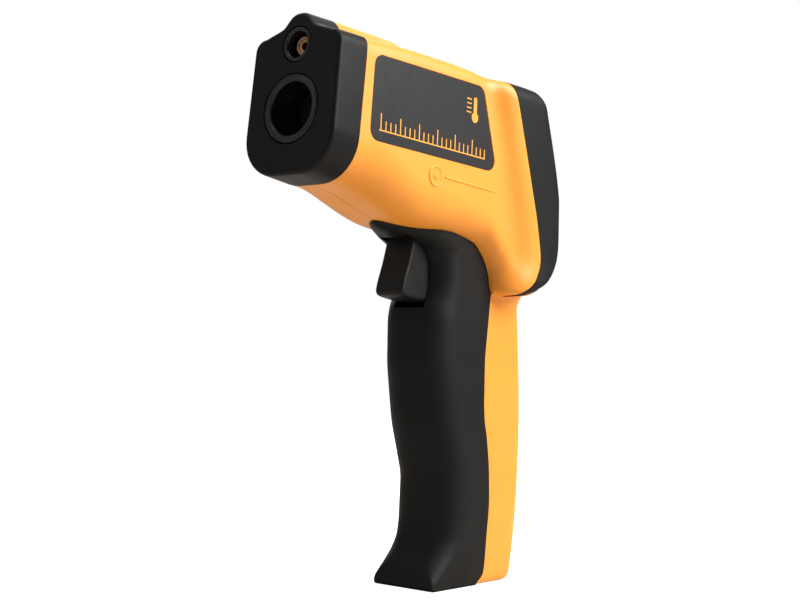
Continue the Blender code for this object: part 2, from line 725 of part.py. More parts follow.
def display_cap():
    """Black cap with the display opening, the key openings and the posts for the board."""
    cap = cut(display_cap_solid("display_cap"),
              display_cap_solid("cap_hollow", inset=SHELL, front=-0.6, bottom_lift=7.0))
    for index, (across, up) in enumerate(BOARD_POSTS):
        frame = face_frame(FACE_POINT)
        top = frame @ Vector((across, up, -1.0))
        end = frame @ Vector((across, up, -7.6))
        cap = join(cap, cylinder(f"cap_post_{index}", top, end, 2.2, 12))
        cap = cut(cap, cylinder(f"cap_post_bore_{index}", frame @ Vector((across, up, -3.4)),
                                frame @ Vector((across, up, -9.0)), 0.95, 12))
    cap = cut(cap, face_slab("cap_window_seat", 14.4, 10.9, -4.0, 1.0))
    cap = cut(cap, face_slab("cap_window", 12.6, 9.1, -4.0, 4.0))
    holes = []
    for index, y in enumerate(KEY_PLACES):
        outline = [(y + u, KEY_Z + v) for u, v in key_outline(GAP)]
        holes.append(plate(f"cap_key_hole_{index}", outline, 44.0, 55.0, across="X"))
    return cut(cap, *holes)


def display_parts():
    window = face_slab("display_window", 14.1, 10.6, 0.15, 0.85)
    panel = face_slab("lcd_panel", 13.4, 9.6, 2.2, 4.2)
    frame = face_slab("lcd_frame", 14.6, 11.0, 4.5, 7.2)
    frame = cut(frame, face_slab("lcd_frame_well", 11.8, 8.2, 3.0, 9.0))
    strip = face_slab("contact_strip", 11.4, 0.9, 4.5, 7.3, 6.8)
    board = face_slab("display_board", 18.8, 13.0, 7.9, 9.3)
    chip = face_slab("controller_chip", 4.0, 4.0, 9.6, 11.2, -2.0)
    for index, (across, up) in enumerate(BOARD_POSTS):
        face = face_frame(FACE_POINT)
        board = cut(board, cylinder(f"board_hole_{index}", face @ Vector((across, up, -7.0)),
                                    face @ Vector((across, up, -12.0)), 1.15, 12))
    return window, panel, frame, strip, board, chip


def screw(name, start, direction, head_radius, head, radius, length, sides=14):
    """Pan head screw; start is the outer end of its head."""
    profile = [(0.0, 0.0), (head_radius * 0.8, 0.0), (head_radius, head * 0.35), (head_radius, head),
               (radius, head), (radius, head + length - radius), (0.2, head + length), (0.0, head + length)]
    return turned(name, profile, start, direction, sides)


def keys_and_switches():
    """Three keys on the cap, the switch under each and the board that carries the switches."""
    made = []
    for index, y in enumerate(KEY_PLACES):
        outline = [(y + u, KEY_Z + v) for u, v in key_outline(0.0)]
        cap = plate(f"key_{index + 1}_cap", outline, 47.0, REAR_X, across="X")
        cap = rounded(cap, 0.45, 1)
        flange = box(f"key_flange_{index}", (46.2, y - 4.9, KEY_Z - 3.6), (47.7, y + 4.9, KEY_Z + 3.6))
        made.append(join(cap, flange))
        made.append(cylinder(f"key_{index + 1}_plunger", (45.9, y, KEY_Z), (42.4, y, KEY_Z), 1.6, 12))
        base = box(f"key_{index + 1}_switch", (40.2, y - 3.0, KEY_Z - 3.0), (43.4, y + 3.0, KEY_Z + 3.0))
        made.append(cut(base, cylinder(f"key_bore_{index}", (41.4, y, KEY_Z), (45.0, y, KEY_Z), 1.9, 12)))
    made.append(box("key_board", (38.6, -15.8, KEY_Z - 6.4), (39.9, 15.8, KEY_Z + 3.9)))
    return made


# ---------------------------------------------------------------- grip cover, trigger, inner frame

KNUCKLE_RADIUS = 2.5
LUG_RADIUS = 2.4
HINGE_BORE_RADIUS = 1.35
HINGE_PIN_RADIUS = 1.15
TRIGGER_BOSS_RADIUS = 3.0
SWITCH_Z = 95.0          # height of the trigger switch and its plunger
SPRING_Z = 86.0          # height of the trigger's return spring
TERMINAL_PITCH = 12.7
LEAD_RADIUS = 0.6
LASER_LEAD_RADIUS = 0.5


def grip_cover():
    """Black front of the handle: the battery door, with the trigger window and its hinge knuckles."""
    door = trim(handle("battery_door"), cover_zone("door_zone", 0.0))
    door = cut(door, handle_hollow("door_hollow"))
    door = cut(door, barrel("door_barrel", grow=GAP, first=-0.01, last=1.01))
    door = cut(door, box("door_window", (-5.5, -5.35, 79.4), (16.0, 5.35, 108.0)))
    pivot_x, pivot_z = DOOR_PIVOT
    # the sole behind the toe belongs to the housing
    door = cut(door, box("door_sole_room", (pivot_x, -9.3, -2.0), (40.0, 9.3, 2.2)))
    for side in (-1, 1):
        ends = sorted((side * 6.0, side * 9.9))
        knuckle = cylinder(f"door_knuckle_{side + 1}", (pivot_x, ends[0], pivot_z),
                           (pivot_x, ends[1], pivot_z), KNUCKLE_RADIUS, 20)
        web = box(f"door_web_{side + 1}", (6.6, ends[0], 2.2), (pivot_x, ends[1], 5.8))
        door = join(door, join(knuckle, web))
    bore = cylinder("door_bore", (pivot_x, -9.2, pivot_z), (pivot_x, 9.2, pivot_z), HINGE_BORE_RADIUS, 16)
    lug_room = cylinder("door_lug_room", (pivot_x, -5.7, pivot_z), (pivot_x, 5.7, pivot_z), 2.75, 24)
    return cut(door, bore, lug_room)


def trigger():
    """Finger lever that hangs from its pivot and shows through the grip cover's window."""
    pivot_x, pivot_z = TRIGGER_PIVOT
    boss = []
    for degrees in range(0, 181, 30):
        angle = math.radians(degrees)
        boss.append((pivot_x + TRIGGER_BOSS_RADIUS * math.cos(angle),
                     pivot_z + TRIGGER_BOSS_RADIUS * math.sin(angle)))
    outline = boss + [(-1.6, 101.0), (-2.1, 98.2), (-3.0, 95.0), (-4.3, 91.0), (-5.5, 87.4), (-6.2, 84.5),
                      (-6.0, 83.0), (-4.6, 82.0), (0.5, 81.3), (5.5, 80.8), (9.2, 81.4), (9.6, 84.0),
                      (9.0, 92.0), (7.0, 98.0), (5.2, 101.5)]
    lever = plate("trigger", outline, -5.0, 5.0)
    lever = rounded(lever, 1.0, 2, 50.0)
    bore = cylinder("trigger_bore", (pivot_x, -8, pivot_z), (pivot_x, 8, pivot_z), PIVOT_BORE_RADIUS, 16)
    seat = cylinder("trigger_spring_seat", (8.0, 0, SPRING_Z), (14.0, 0, SPRING_Z), 2.6, 16)
    return cut(lever, bore, seat)


def trigger_parts():
    """Pivot pin, return spring, switch, plunger and board behind the trigger."""
    pivot_x, pivot_z = TRIGGER_PIVOT
    pin = cylinder("trigger_pin", (pivot_x, -8.2, pivot_z), (pivot_x, 8.2, pivot_z), PIN_RADIUS, 16)
    spring = coil("trigger_spring", (8.5, 0.0, SPRING_Z), (16.6, 0.0, SPRING_Z), 1.9, 0.28, 5)
    base = box("trigger_switch", (11.4, -3.0, SWITCH_Z - 3.0), (15.2, 3.0, SWITCH_Z + 3.0))
    base = cut(base, cylinder("trigger_switch_bore", (10.0, 0, SWITCH_Z), (14.0, 0, SWITCH_Z), 1.9, 12))
    plunger = cylinder("trigger_plunger", (8.9, 0, SWITCH_Z), (12.6, 0, SWITCH_Z), 1.6, 12)
    board = box("trigger_board", (15.5, -6.0, 89.0), (16.7, 6.0, 101.0))
    return pin, spring, base, plunger, board


def coil(name, start, end, radius, wire, turns):
    """Compression spring along X with a flat turn at each end."""
    points = []
    steps = turns * 10
    for step in range(steps + 1):
        share = step / steps
        angle = 2 * math.pi * turns * share
        eased = min(max((share - 0.12) / 0.76, 0.0), 1.0)
        x = start[0] + wire + (end[0] - start[0] - 2 * wire) * eased
        points.append((x, start[1] + radius * math.cos(angle), start[2] + radius * math.sin(angle)))
    return tube(name, points, wire, 0)


def inner_frame():
    """Moulded frame that holds the battery, the trigger switch and the door's hinge lug."""
    low_x, _, low_z = BATTERY_LOW
    high_x, _, high_z = BATTERY_HIGH
    floor_top, floor_low = low_z - GAP, 7.7
    back_low, back_high = high_x + GAP, high_x + 1.6
    shelf_low, shelf_high = 66.0, 67.6
    outline = [(low_x, floor_low), (back_high, floor_low), (back_high, shelf_high), (18.6, shelf_high),
               (18.6, 103.0), (17.0, 103.0), (17.0, shelf_low), (back_low, shelf_low), (back_low, floor_top),
               (low_x, floor_top)]
    frame = plate("inner_frame", outline, -7.6, 7.6)
    pivot_x, pivot_z = DOOR_PIVOT
    lug = cylinder("frame_lug", (pivot_x, -5.4, pivot_z), (pivot_x, 5.4, pivot_z), LUG_RADIUS, 20)
    arm = plate("frame_arm", [(pivot_x, 6.6), (pivot_x, 4.4), (12.5, 4.4), (16.5, 7.5), (19.0, 7.5),
                              (19.0, 9.0), (14.3, 9.0), (12.0, 6.6)], -5.4, 5.4)
    frame = join(frame, arm, lug)
    frame = cut(frame, cylinder("frame_lug_bore", (pivot_x, -6, pivot_z), (pivot_x, 6, pivot_z),
                                HINGE_BORE_RADIUS, 16))
    return cut(frame, box("frame_lead_hole", (23.0, -5.0, 60.0), (31.0, 5.0, 70.0)))


def battery():
    """Nine volt battery with its two terminals and the snap connector on top."""
    case = rounded(box("battery_case", BATTERY_LOW, BATTERY_HIGH), 1.6, 2)
    top = BATTERY_HIGH[2]
    middle = (BATTERY_LOW[0] + BATTERY_HIGH[0]) / 2
    small_x, large_x = middle - TERMINAL_PITCH / 2, middle + TERMINAL_PITCH / 2
    small = cylinder("terminal_positive", (small_x, 0, top + 0.3), (small_x, 0, top + 2.8), 2.9, 16)
    large = cylinder("terminal_negative", (large_x, 0, top + 0.3), (large_x, 0, top + 2.8), 3.9, 6)
    snap = box("snap_connector", (middle - 12.5, -6.0, top + 3.1), (middle + 12.5, 6.0, top + 6.6))
    return case, small, large, rounded(snap, 1.2, 1)


def hinge_pin():
    pivot_x, pivot_z = DOOR_PIVOT
    return cylinder("door_pin", (pivot_x, -9.0, pivot_z), (pivot_x, 9.0, pivot_z), HINGE_PIN_RADIUS, 16)


# route points (x, y, z) of the leads, read through a smooth curve
RED_ROUTE = [(25.0, -2.0, 62.9), (25.0, -2.0, 70.0), (24.6, -2.6, 80.0), (24.0, -4.0, 92.0),
             (25.0, -5.5, 104.0), (28.0, -6.0, 114.0), (31.6, -6.0, 120.0)]
BLACK_ROUTE = [(28.5, 2.0, 62.9), (28.5, 2.0, 70.0), (28.0, 2.6, 80.0), (26.6, 4.0, 92.0),
               (26.4, 5.5, 104.0), (28.4, 6.0, 114.0), (31.6, 6.0, 120.0)]
LASER_ROUTE = [(-31.1, 0.0, 141.0), (-26.0, 0.0, 140.6), (-14.0, 0.0, 141.2), (0.0, 0.0, 141.6),
               (6.0, 3.2, 137.0), (16.0, 4.4, 134.0), (24.0, 4.0, 133.0), (29.6, 4.0, 132.0)]


def smooth_route(points, steps=4):
    """Points of a Catmull-Rom curve through a route."""
    result = []
    for index in range(len(points) - 1):
        p0 = Vector(points[max(index - 1, 0)])
        p1, p2 = Vector(points[index]), Vector(points[index + 1])
        p3 = Vector(points[min(index + 2, len(points) - 1)])
        for step in range(steps):
            u = step / steps
            result.append(tuple(0.5 * (2 * p1 + (p2 - p0) * u + (2 * p0 - 5 * p1 + 4 * p2 - p3) * u * u
                                       + (3 * p1 - p0 - 3 * p2 + p3) * u ** 3)))
    result.append(tuple(points[-1]))
    return result


def leads():
    tube("lead_red", smooth_route(RED_ROUTE), LEAD_RADIUS)
    tube("lead_black", smooth_route(BLACK_ROUTE), LEAD_RADIUS)
    tube("laser_lead", smooth_route(LASER_ROUTE), LASER_LEAD_RADIUS)


# ---------------------------------------------------------------- materials and finish

LOOKS = {
    "orange_plastic": (ORANGE, 0.45, 0.0),
    "black_plastic": (BLACK, 0.5, 0.0),
    "soft_black": (SOFT_BLACK, 0.6, 0.0),
    "label_film": ((0.06, 0.06, 0.065), 0.45, 0.0),
    "brass": ((0.72, 0.52, 0.24), 0.3, 1.0),
    "steel": ((0.6, 0.6, 0.6), 0.3, 1.0),
    "dark_glass": ((0.05, 0.06, 0.07), 0.1, 0.0),
    "lcd_glass": ((0.45, 0.5, 0.42), 0.2, 0.0),
    "silicon_lens": ((0.2, 0.2, 0.22), 0.15, 0.0),
    "board": ((0.02, 0.2, 0.08), 0.5, 0.0),
    "chip": ((0.02, 0.02, 0.02), 0.4, 0.0),
    "battery_can": ((0.12, 0.13, 0.15), 0.35, 0.6),
    "red_wire": ((0.6, 0.02, 0.02), 0.5, 0.0),
    "black_wire": ((0.02, 0.02, 0.02), 0.5, 0.0),
}

NODE_LOOKS = {
    "left_housing": "orange_plastic", "right_housing": "orange_plastic", "nose_cap": "black_plastic",
    "display_cap": "black_plastic", "battery_door": "soft_black", "trigger": "black_plastic",
    "ir_aperture_ring": "black_plastic", "laser_bezel": "black_plastic", "lens_tube": "black_plastic",
    "ir_lens": "silicon_lens", "thermopile_can": "steel", "sensor_board": "board", "laser_barrel": "brass",
    "laser_lens": "dark_glass", "laser_diode": "steel", "laser_board": "board", "trigger_pin": "steel",
    "trigger_spring": "steel", "trigger_switch": "chip", "trigger_plunger": "black_plastic",
    "trigger_board": "board", "inner_frame": "black_plastic", "battery_case": "battery_can",
    "terminal_positive": "steel", "terminal_negative": "steel", "snap_connector": "black_wire",
    "door_pin": "steel", "lead_red": "red_wire", "lead_black": "black_wire", "laser_lead": "red_wire",
    "display_window": "dark_glass", "lcd_panel": "lcd_glass", "lcd_frame": "black_plastic",
    "contact_strip": "soft_black", "display_board": "board", "controller_chip": "chip", "key_board": "board",
    "left_label": "label_film", "right_label": "label_film", "buzzer": "chip",
}


def material(name):
    """One Principled material for a look."""
    if name in bpy.data.materials:
        return bpy.data.materials[name]
    colour, roughness, metallic = LOOKS[name]
    made = bpy.data.materials.new(name)
    made.use_nodes = True
    shader = made.node_tree.nodes["Principled BSDF"]
    shader.inputs["Base Color"].default_value = (*colour, 1.0)
    shader.inputs["Roughness"].default_value = roughness
    shader.inputs["Metallic"].default_value = metallic
    return made


def look_of(name):
    if name.startswith("key_") and name.endswith("_cap"):
        return "soft_black"
    if name.startswith("key_") and name.endswith("_plunger"):
        return "soft_black"
    if name.startswith("key_") and name.endswith("_switch"):
        return "chip"
    if "screw" in name:
        return "steel"
    return NODE_LOOKS[name]


ROUND_PARTS = ("ir_aperture_ring", "laser_bezel", "lens_tube", "ir_lens", "thermopile_can", "laser_barrel",
               "laser_lens", "laser_diode", "trigger_pin", "door_pin", "lead_red", "lead_black",
               "laser_lead", "trigger_spring", "buzzer", "terminal_positive")

PIVOTS = {"trigger": TRIGGER_PIVOT, "battery_door": DOOR_PIVOT}


def finish(made):
    """Give an object its material and shading, and put a moving piece's origin on its joint axis."""
    made.data.materials.clear()
    made.data.materials.append(material(look_of(made.name)))
    if made.name in ROUND_PARTS or "screw" in made.name:
        made.data.shade_smooth()
    if made.name in PIVOTS:
        x, z = PIVOTS[made.name]
        origin = Vector((x * MM, 0.0, z * MM))
        made.data.transform(Matrix.Translation(-origin))
        made.location = origin


for leftover in list(bpy.data.objects):
    bpy.data.objects.remove(leftover)
PARTS = collection("infrared_thermometer")

housing_half("left_housing", -1)
housing_half("right_housing", 1)
nose_cap()
ir_aperture_ring()
laser_bezel()
lens_tube()
ir_lens()
thermopile()
sensor_board()
laser_parts()
display_cap()
display_parts()
keys_and_switches()
grip_cover()
trigger()
trigger_parts()
inner_frame()
battery()
hinge_pin()
leads()
cylinder("buzzer", (14.0, 8.0, 122.0), (14.0, 13.6, 122.0), 6.0, 20)
for side_name, side in (("left_label", -1), ("right_label", 1)):
    label_solid(side_name, side, -0.3, -0.05)
for index, (x, z) in enumerate(SCREW_POINTS):
    seat = SCREW_SEATS[index]
    screw(f"housing_screw_{index + 1}", (x, seat + 1.7, z), (0, -1, 0), HEAD_RADIUS, 1.5, 0.95, seat + 5.5)
for index, (across, up) in enumerate(BOARD_POSTS):
    screw(f"board_screw_{index + 1}", face_frame(FACE_POINT) @ Vector((across, up, -10.8)), FACE_NORMAL,
          1.9, 1.2, 0.8, 4.6, 12)
for piece in PARTS.objects:
    finish(piece)
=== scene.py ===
"""Looks of the pistol-grip infrared thermometer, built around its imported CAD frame.

Lengths below are in millimetres and become metres when a mesh is made. The handle stands on z = 0,
the barrel points along -X, the left side faces -Y and the housing halves meet at y = 0.
"""
import math

import bmesh
import bpy
from mathutils import Matrix, Vector


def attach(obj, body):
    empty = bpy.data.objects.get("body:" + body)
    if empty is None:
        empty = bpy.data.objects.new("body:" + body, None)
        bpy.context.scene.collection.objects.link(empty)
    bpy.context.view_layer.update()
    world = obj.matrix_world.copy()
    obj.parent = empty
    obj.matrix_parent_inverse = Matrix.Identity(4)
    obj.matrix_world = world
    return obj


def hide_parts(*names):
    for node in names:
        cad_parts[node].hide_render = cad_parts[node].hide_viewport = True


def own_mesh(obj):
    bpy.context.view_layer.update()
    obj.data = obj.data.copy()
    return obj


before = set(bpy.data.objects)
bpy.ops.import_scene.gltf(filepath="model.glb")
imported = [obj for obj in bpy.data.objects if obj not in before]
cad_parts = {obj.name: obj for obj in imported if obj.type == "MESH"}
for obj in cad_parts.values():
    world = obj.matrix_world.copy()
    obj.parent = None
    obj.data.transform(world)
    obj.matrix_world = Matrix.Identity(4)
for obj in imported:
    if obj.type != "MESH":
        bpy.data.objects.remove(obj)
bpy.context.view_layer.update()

MM = 0.001
SEAM = 0.12          # half of the joint line between the two housing halves, and the other fine joints
SHELL = 1.8          # wall thickness of the moulded shells
GAP = 0.3            # clearance round moving and fitted pieces

NOSE_LEAN = math.tan(math.radians(4.6))
FACE_TILT = math.radians(18.3)
FACE_NORMAL = Vector((math.cos(FACE_TILT), 0.0, math.sin(FACE_TILT)))
FACE_UP = Vector((-math.sin(FACE_TILT), 0.0, math.cos(FACE_TILT)))
FACE_POINT = Vector((45.0, 0.0, 130.9))

IR_AXIS_Z = 127.4
LASER_AXIS_Z = 144.4
ROOT = 0.7           # bosses and ribs reach to this depth below the barrel's surface
HINGE_BORE = 1.35
PIVOT_BORE = 1.5
SPRING_Z = 86.0      # height of the trigger's return spring
TRIGGER_PIVOT = (2.0, 104.0)
DOOR_PIVOT = (9.5, 4.2)
ALONG_X = (1.0, 0.0, 0.0)

# height, x: rear joint of the orange body, and outer face of the display cap
REAR_EDGE = [(84.7, 32.2), (89.4, 37.0), (95.4, 39.2), (103.9, 37.6), (118.0, 33.0), (139.4, 25.3),
             (147.0, 22.4)]
CAP_FACE = [(84.7, 32.9), (86.2, 38.0), (88.7, 43.0), (92.8, 47.2), (98.0, 49.5), (102.0, 49.9),
            (114.0, 49.9),
            (117.5, 49.3), (144.0, 40.6), (147.0, 39.6)]

# share of the way from the nose joint to the rear joint: half width, bottom, top, top radius, bottom radius
BARREL = [
    (0.000, 15.4, 108.7, 147.2, 4.0, 11.5),
    (0.060, 15.5, 108.3, 147.4, 4.0, 11.5),
    (0.126, 15.7, 107.3, 147.6, 4.0, 11.3),
    (0.230, 15.9, 104.9, 147.8, 4.0, 10.8),
    (0.330, 16.1, 102.7, 148.0, 4.0, 10.3),
    (0.400, 16.2, 101.5, 148.0, 4.0, 10.1),
    (0.470, 16.35, 100.9, 148.0, 4.0, 10.0),
    (0.560, 16.5, 100.5, 148.0, 4.0, 10.0),
    (0.735, 16.8, 98.7, 147.8, 4.0, 9.0),
    (0.840, 17.0, 91.8, 147.3, 4.2, 7.0),
    (0.890, 17.8, 87.5, 147.0, 4.6, 6.0),
    (0.940, 19.7, 85.3, 146.8, 5.0, 5.0),
    (0.975, 20.7, 84.9, 146.7, 5.0, 4.5),
    (1.000, 21.0, 84.7, 146.6, 5.0, 4.5),
]

# height: front x, front depth, front squareness, rear x, half width
HANDLE = [
    (0.0, -1.2, 8.2, 2.5, 45.4, 10.5),
    (1.0, -0.6, 8.3, 2.5, 46.6, 10.8),
    (2.4, 0.6, 8.5, 2.5, 47.1, 11.0),
    (6.2, 4.6, 8.8, 2.5, 47.5, 11.1),
    (10.0, 8.0, 9.0, 2.4, 48.0, 11.2),
    (14.0, 10.2, 9.0, 2.4, 48.5, 11.2),
    (20.0, 11.0, 9.0, 2.4, 49.0, 11.3),
    (30.0, 10.8, 9.2, 2.3, 49.5, 11.3),
    (38.0, 8.6, 9.5, 2.3, 49.5, 11.4),
    (46.0, 5.6, 10.0, 2.2, 49.2, 11.5),
    (56.0, 3.6, 10.0, 2.2, 48.6, 11.5),
    (66.0, 2.1, 10.0, 2.2, 47.8, 11.4),
    (76.0, 2.0, 9.5, 2.2, 46.9, 11.4),
    (80.0, 2.5, 9.6, 2.2, 46.5, 11.3),
    (82.2, 3.6, 8.9, 2.2, 46.3, 11.3),
    (86.7, 4.8, 8.0, 2.2, 46.0, 11.3),
    (91.0, 4.6, 8.2, 2.2, 46.0, 11.3),
    (95.0, 3.0, 9.8, 2.1, 46.0, 11.3),
    (97.6, -2.2, 13.0, 1.9, 46.0, 11.3),
    (99.0, -7.6, 17.0, 1.7, 46.0, 11.3),
    (100.6, -12.0, 21.0, 1.6, 46.0, 11.3),
    (102.0, -13.8, 22.0, 1.6, 46.0, 11.3),
    (103.0, -14.4, 22.0, 1.6, 46.0, 11.3),
]
TOE_FACET = [(0.0, 5.7), (0.8, 4.9), (2.4, 4.9), (14.0, 10.6), (20.0, 8.0), (200.0, -100.0)]
# height, half width of the swelling between the handle's back and the flange under the display
GUSSET = [(70.0, 10.8), (78.0, 11.2), (82.0, 12.2), (86.0, 14.6), (90.0, 18.0), (92.0, 19.4)]
REAR_DEPTH = 7.0
REAR_SQUARENESS = 2.8

# side joint between the grip cover and the orange back of the handle: height, x
COVER_EDGE = [(-5.0, 26.1), (0.0, 26.1), (3.5, 29.1), (12.7, 29.8), (23.8, 30.5), (31.3, 30.1), (42.5, 28.1),
              (47.9, 26.6), (54.4, 26.0), (64.2, 25.9), (74.1, 26.7), (84.0, 27.7), (112.0, 28.2)]

# sight bump in section: half width, height
BUMP_BASE, BUMP_TOP = 147.2, 153.0     # foot, and the crest before the small clearance in BUMP
BUMP = [(12.0, 147.2), (9.6, 148.0), (7.4, 148.7), (5.7, 149.4), (4.8, 150.3), (3.9, 151.3), (2.9, 152.2),
        (1.6, 152.8), (0.0, 152.98)]
# x, top of the bump along the orange body
RIDGE_TOP = [(-45.0, 153.0), (-12.0, 152.9), (-9.5, 152.5), (-7.0, 151.2), (-4.6, 149.3), (-2.6, 148.1),
             (0.0, 147.2)]

SCREW_POINTS = [(-29.0, 113.8), (10.0, 141.0), (37.0, 73.0), (36.5, 4.2)]
SCREW_SEATS = [11.6, 13.2, 8.2, 8.0]
BOSS_WALLS = [14.5, 15.5, 10.3, 9.9]
BOSS_RADIUS = 3.1
RIB_PLACES = (-34.5, -23.0)
KEY_PLACES = (-11.0, 0.0, 11.0)
KEY_Z = 107.0
BOARD_POSTS = [(-17.1, 0.0), (17.1, 0.0)]


# ---------------------------------------------------------------- curves

def along(table, value):
    """Smooth value read from a table of (key, value) pairs with rising keys."""
    if value <= table[0][0]:
        return table[0][1]
    if value >= table[-1][0]:
        return table[-1][1]
    index = 0
    while table[index + 1][0] < value:
        index += 1
    (k1, v1), (k2, v2) = table[index], table[index + 1]
    k0, v0 = table[max(index - 1, 0)]
    k3, v3 = table[min(index + 2, len(table) - 1)]
    slope = (v2 - v1) / (k2 - k1)
    before = (v1 - v0) / (k1 - k0) if k1 > k0 else slope
    after = (v3 - v2) / (k3 - k2) if k3 > k2 else slope
    start = 0.0 if before * slope <= 0 else 2 * before * slope / (before + slope)
    end = 0.0 if after * slope <= 0 else 2 * after * slope / (after + slope)
    u = (value - k1) / (k2 - k1)
    width = k2 - k1
    return (v1 * (1 + 2 * u) * (1 - u) ** 2 + v2 * u * u * (3 - 2 * u)
            + start * width * u * (1 - u) ** 2 - end * width * u * u * (1 - u))


def row_at(rows, key):
    """All the columns of a table of rows, read smoothly at a key."""
    return [along([(row[0], row[column]) for row in rows], key) for column in range(1, len(rows[0]))]


def spread(low, high, count):
    return [low + (high - low) * step / count for step in range(count + 1)]


def smooth_through(points, steps):
    """Points of a Catmull-Rom curve through a list of points."""
    result = []
    for index in range(len(points) - 1):
        p0 = Vector(points[max(index - 1, 0)])
        p1, p2 = Vector(points[index]), Vector(points[index + 1])
        p3 = Vector(points[min(index + 2, len(points) - 1)])
        for step in range(steps):
            u = step / steps
            result.append(0.5 * (2 * p1 + (p2 - p0) * u + (2 * p0 - 5 * p1 + 4 * p2 - p3) * u * u
                                 + (3 * p1 - p0 - 3 * p2 + p3) * u ** 3))
    result.append(Vector(points[-1]))
    return result


def nose_joint_x(z):
    return -38.7 + NOSE_LEAN * (z - 126.0)


def nose_face_x(z):
    return -50.5 + NOSE_LEAN * (z - 109.2)


# ---------------------------------------------------------------- mesh helpers

def new_object(name, mesh):
    made = bpy.data.objects.new(name, mesh)
    bpy.context.scene.collection.objects.link(made)
    return made


def outward(body, mesh):
    """Turn a bmesh's faces outwards and write it to a mesh."""
    body.normal_update()
    bmesh.ops.recalc_face_normals(body, faces=body.faces)
    if body.calc_volume(signed=True) < 0:
        bmesh.ops.reverse_faces(body, faces=body.faces)
    body.to_mesh(mesh)
    body.free()


def solid(name, points, faces):
    """Closed mesh object from points in millimetres."""
    mesh = bpy.data.meshes.new(name)
    mesh.from_pydata([tuple(value * MM for value in point) for point in points], [], faces)
    body = bmesh.new()
    body.from_mesh(mesh)
    bmesh.ops.remove_doubles(body, verts=body.verts, dist=2e-7)
    bmesh.ops.dissolve_degenerate(body, edges=body.edges, dist=2e-7)
    outward(body, mesh)
    return new_object(name, mesh)


def loft(name, rings, banded=True, closed_ends=True):
    """Solid through rings; banded ends suit rings that mirror across y = 0 and start on it."""
    count = len(rings[0])
    points = [point for ring in rings for point in ring]
    faces = []
    for level in range(len(rings) - 1):
        low, high = level * count, (level + 1) * count
        for index in range(count):
            following = (index + 1) % count
            faces.append((low + index, low + following, high + following, high + index))
    for base in (0, (len(rings) - 1) * count) if closed_ends else ():
        if not banded:
            faces.append(tuple(range(base, base + count)))
            continue
        for index in range(count // 2):
            corners = [index, index + 1, (count - index - 1) % count, (count - index) % count]
            unique = list(dict.fromkeys(corners))
            if len(unique) > 2:
                faces.append(tuple(base + corner for corner in unique))
    return solid(name, points, faces)


def turned(name, profile, start, direction=ALONG_X, steps=64, lean=0.0, lean_span=1.0):
    """Solid of revolution from (radius, distance) pairs; lean shears its front end to a sloping face."""
    turn = Vector(direction).to_track_quat("Z", "Y").to_matrix()
    rings = []
    for radius, distance in profile:
        ring = []
        for step in range(steps):
            angle = 2 * math.pi * step / steps
            spot = turn @ Vector((radius * math.cos(angle), radius * math.sin(angle), distance))
            share = min(max(1.0 - distance / lean_span, 0.0), 1.0)
            spot.x += lean * spot.z * share
            ring.append(spot + Vector(start))
        rings.append(ring)
    return loft(name, rings, closed_ends=False)


def rod(name, start, end, radius, sides=32, edge=0.0):
    """Cylinder between two points with its rims rounded off by edge."""
    start, end = Vector(start), Vector(end)
    length = (end - start).length
    if edge:
        profile = [(0.0, 0.0), (radius - edge, 0.0), (radius - 0.3 * edge, 0.3 * edge), (radius, edge),
                   (radius, length - edge), (radius - 0.3 * edge, length - 0.3 * edge),
                   (radius - edge, length),
                   (0.0, length)]
    else:
        profile = [(0.0, 0.0), (radius, 0.0), (radius, length), (0.0, length)]
    return turned(name, profile, start, end - start, sides)


def block(name, low, high, turn=Matrix.Identity(4)):
    corners = [turn @ Vector((x, y, z)) for x in (low[0], high[0]) for y in (low[1], high[1])
               for z in (low[2], high[2])]
    return solid(name, corners, [(0, 1, 3, 2), (4, 6, 7, 5), (0, 4, 5, 1), (2, 3, 7, 6), (0, 2, 6, 4),
                                 (1, 5, 7, 3)])


def prism(name, outline, low, high, across="Y"):
    """Flat outline on XZ carried along Y, or on YZ carried along X."""
    if across == "Y":
        rings = [[(u, level, v) for u, v in outline] for level in (low, high)]
    else:
        rings = [[(level, u, v) for u, v in outline] for level in (low, high)]
    return loft(name, rings, banded=False)


def tube(name, points, radius, sides=12):
    """Round wire along a list of points, with rounded ends."""
    points = [Vector(point) for point in points]
    rings = []
    side = None
    for index, point in enumerate(points):
        ahead = points[min(index + 1, len(points) - 1)] - points[max(index - 1, 0)]
        ahead.normalize()
        side = ahead.orthogonal().normalized() if side is None else (side - ahead * side.dot(ahead)).normalized()
        other = ahead.cross(side)
        rings.append([point + (side * math.cos(angle) + other * math.sin(angle)) * radius
                      for angle in (2 * math.pi * step / sides for step in range(sides))])
    return loft(name, rings, banded=False)


def baked(made):
    """The same object with its modifiers applied."""
    bpy.context.view_layer.update()
    mesh = bpy.data.meshes.new_from_object(made.evaluated_get(bpy.context.evaluated_depsgraph_get()))
    made.modifiers.clear()
    old = made.data
    made.data = mesh
    bpy.data.meshes.remove(old)
    return made


def combine(made, tools, operation):
    for tool in tools:
        step = made.modifiers.new("step", "BOOLEAN")
        step.operation = operation
        step.solver = "MANIFOLD"
        step.object = tool
        baked(made)
        bpy.data.objects.remove(tool)
    return made


def cut(made, *tools):
    return combine(made, tools, "DIFFERENCE")


def join(made, *tools):
    return combine(made, tools, "UNION")


def trim(made, *tools):
    return combine(made, tools, "INTERSECT")


def copied(made, name):
    return new_object(name, made.data.copy())


def relaxed(made, voxel, rounds):
    """Even quads over a solid, relaxed so that its inner and outer corners blend."""
    grid = made.modifiers.new("grid", "REMESH")
    grid.mode = "VOXEL"
    grid.voxel_size = voxel * MM
    ease = made.modifiers.new("ease", "SMOOTH")
    ease.factor = 0.5
    ease.iterations = rounds
    return baked(made)


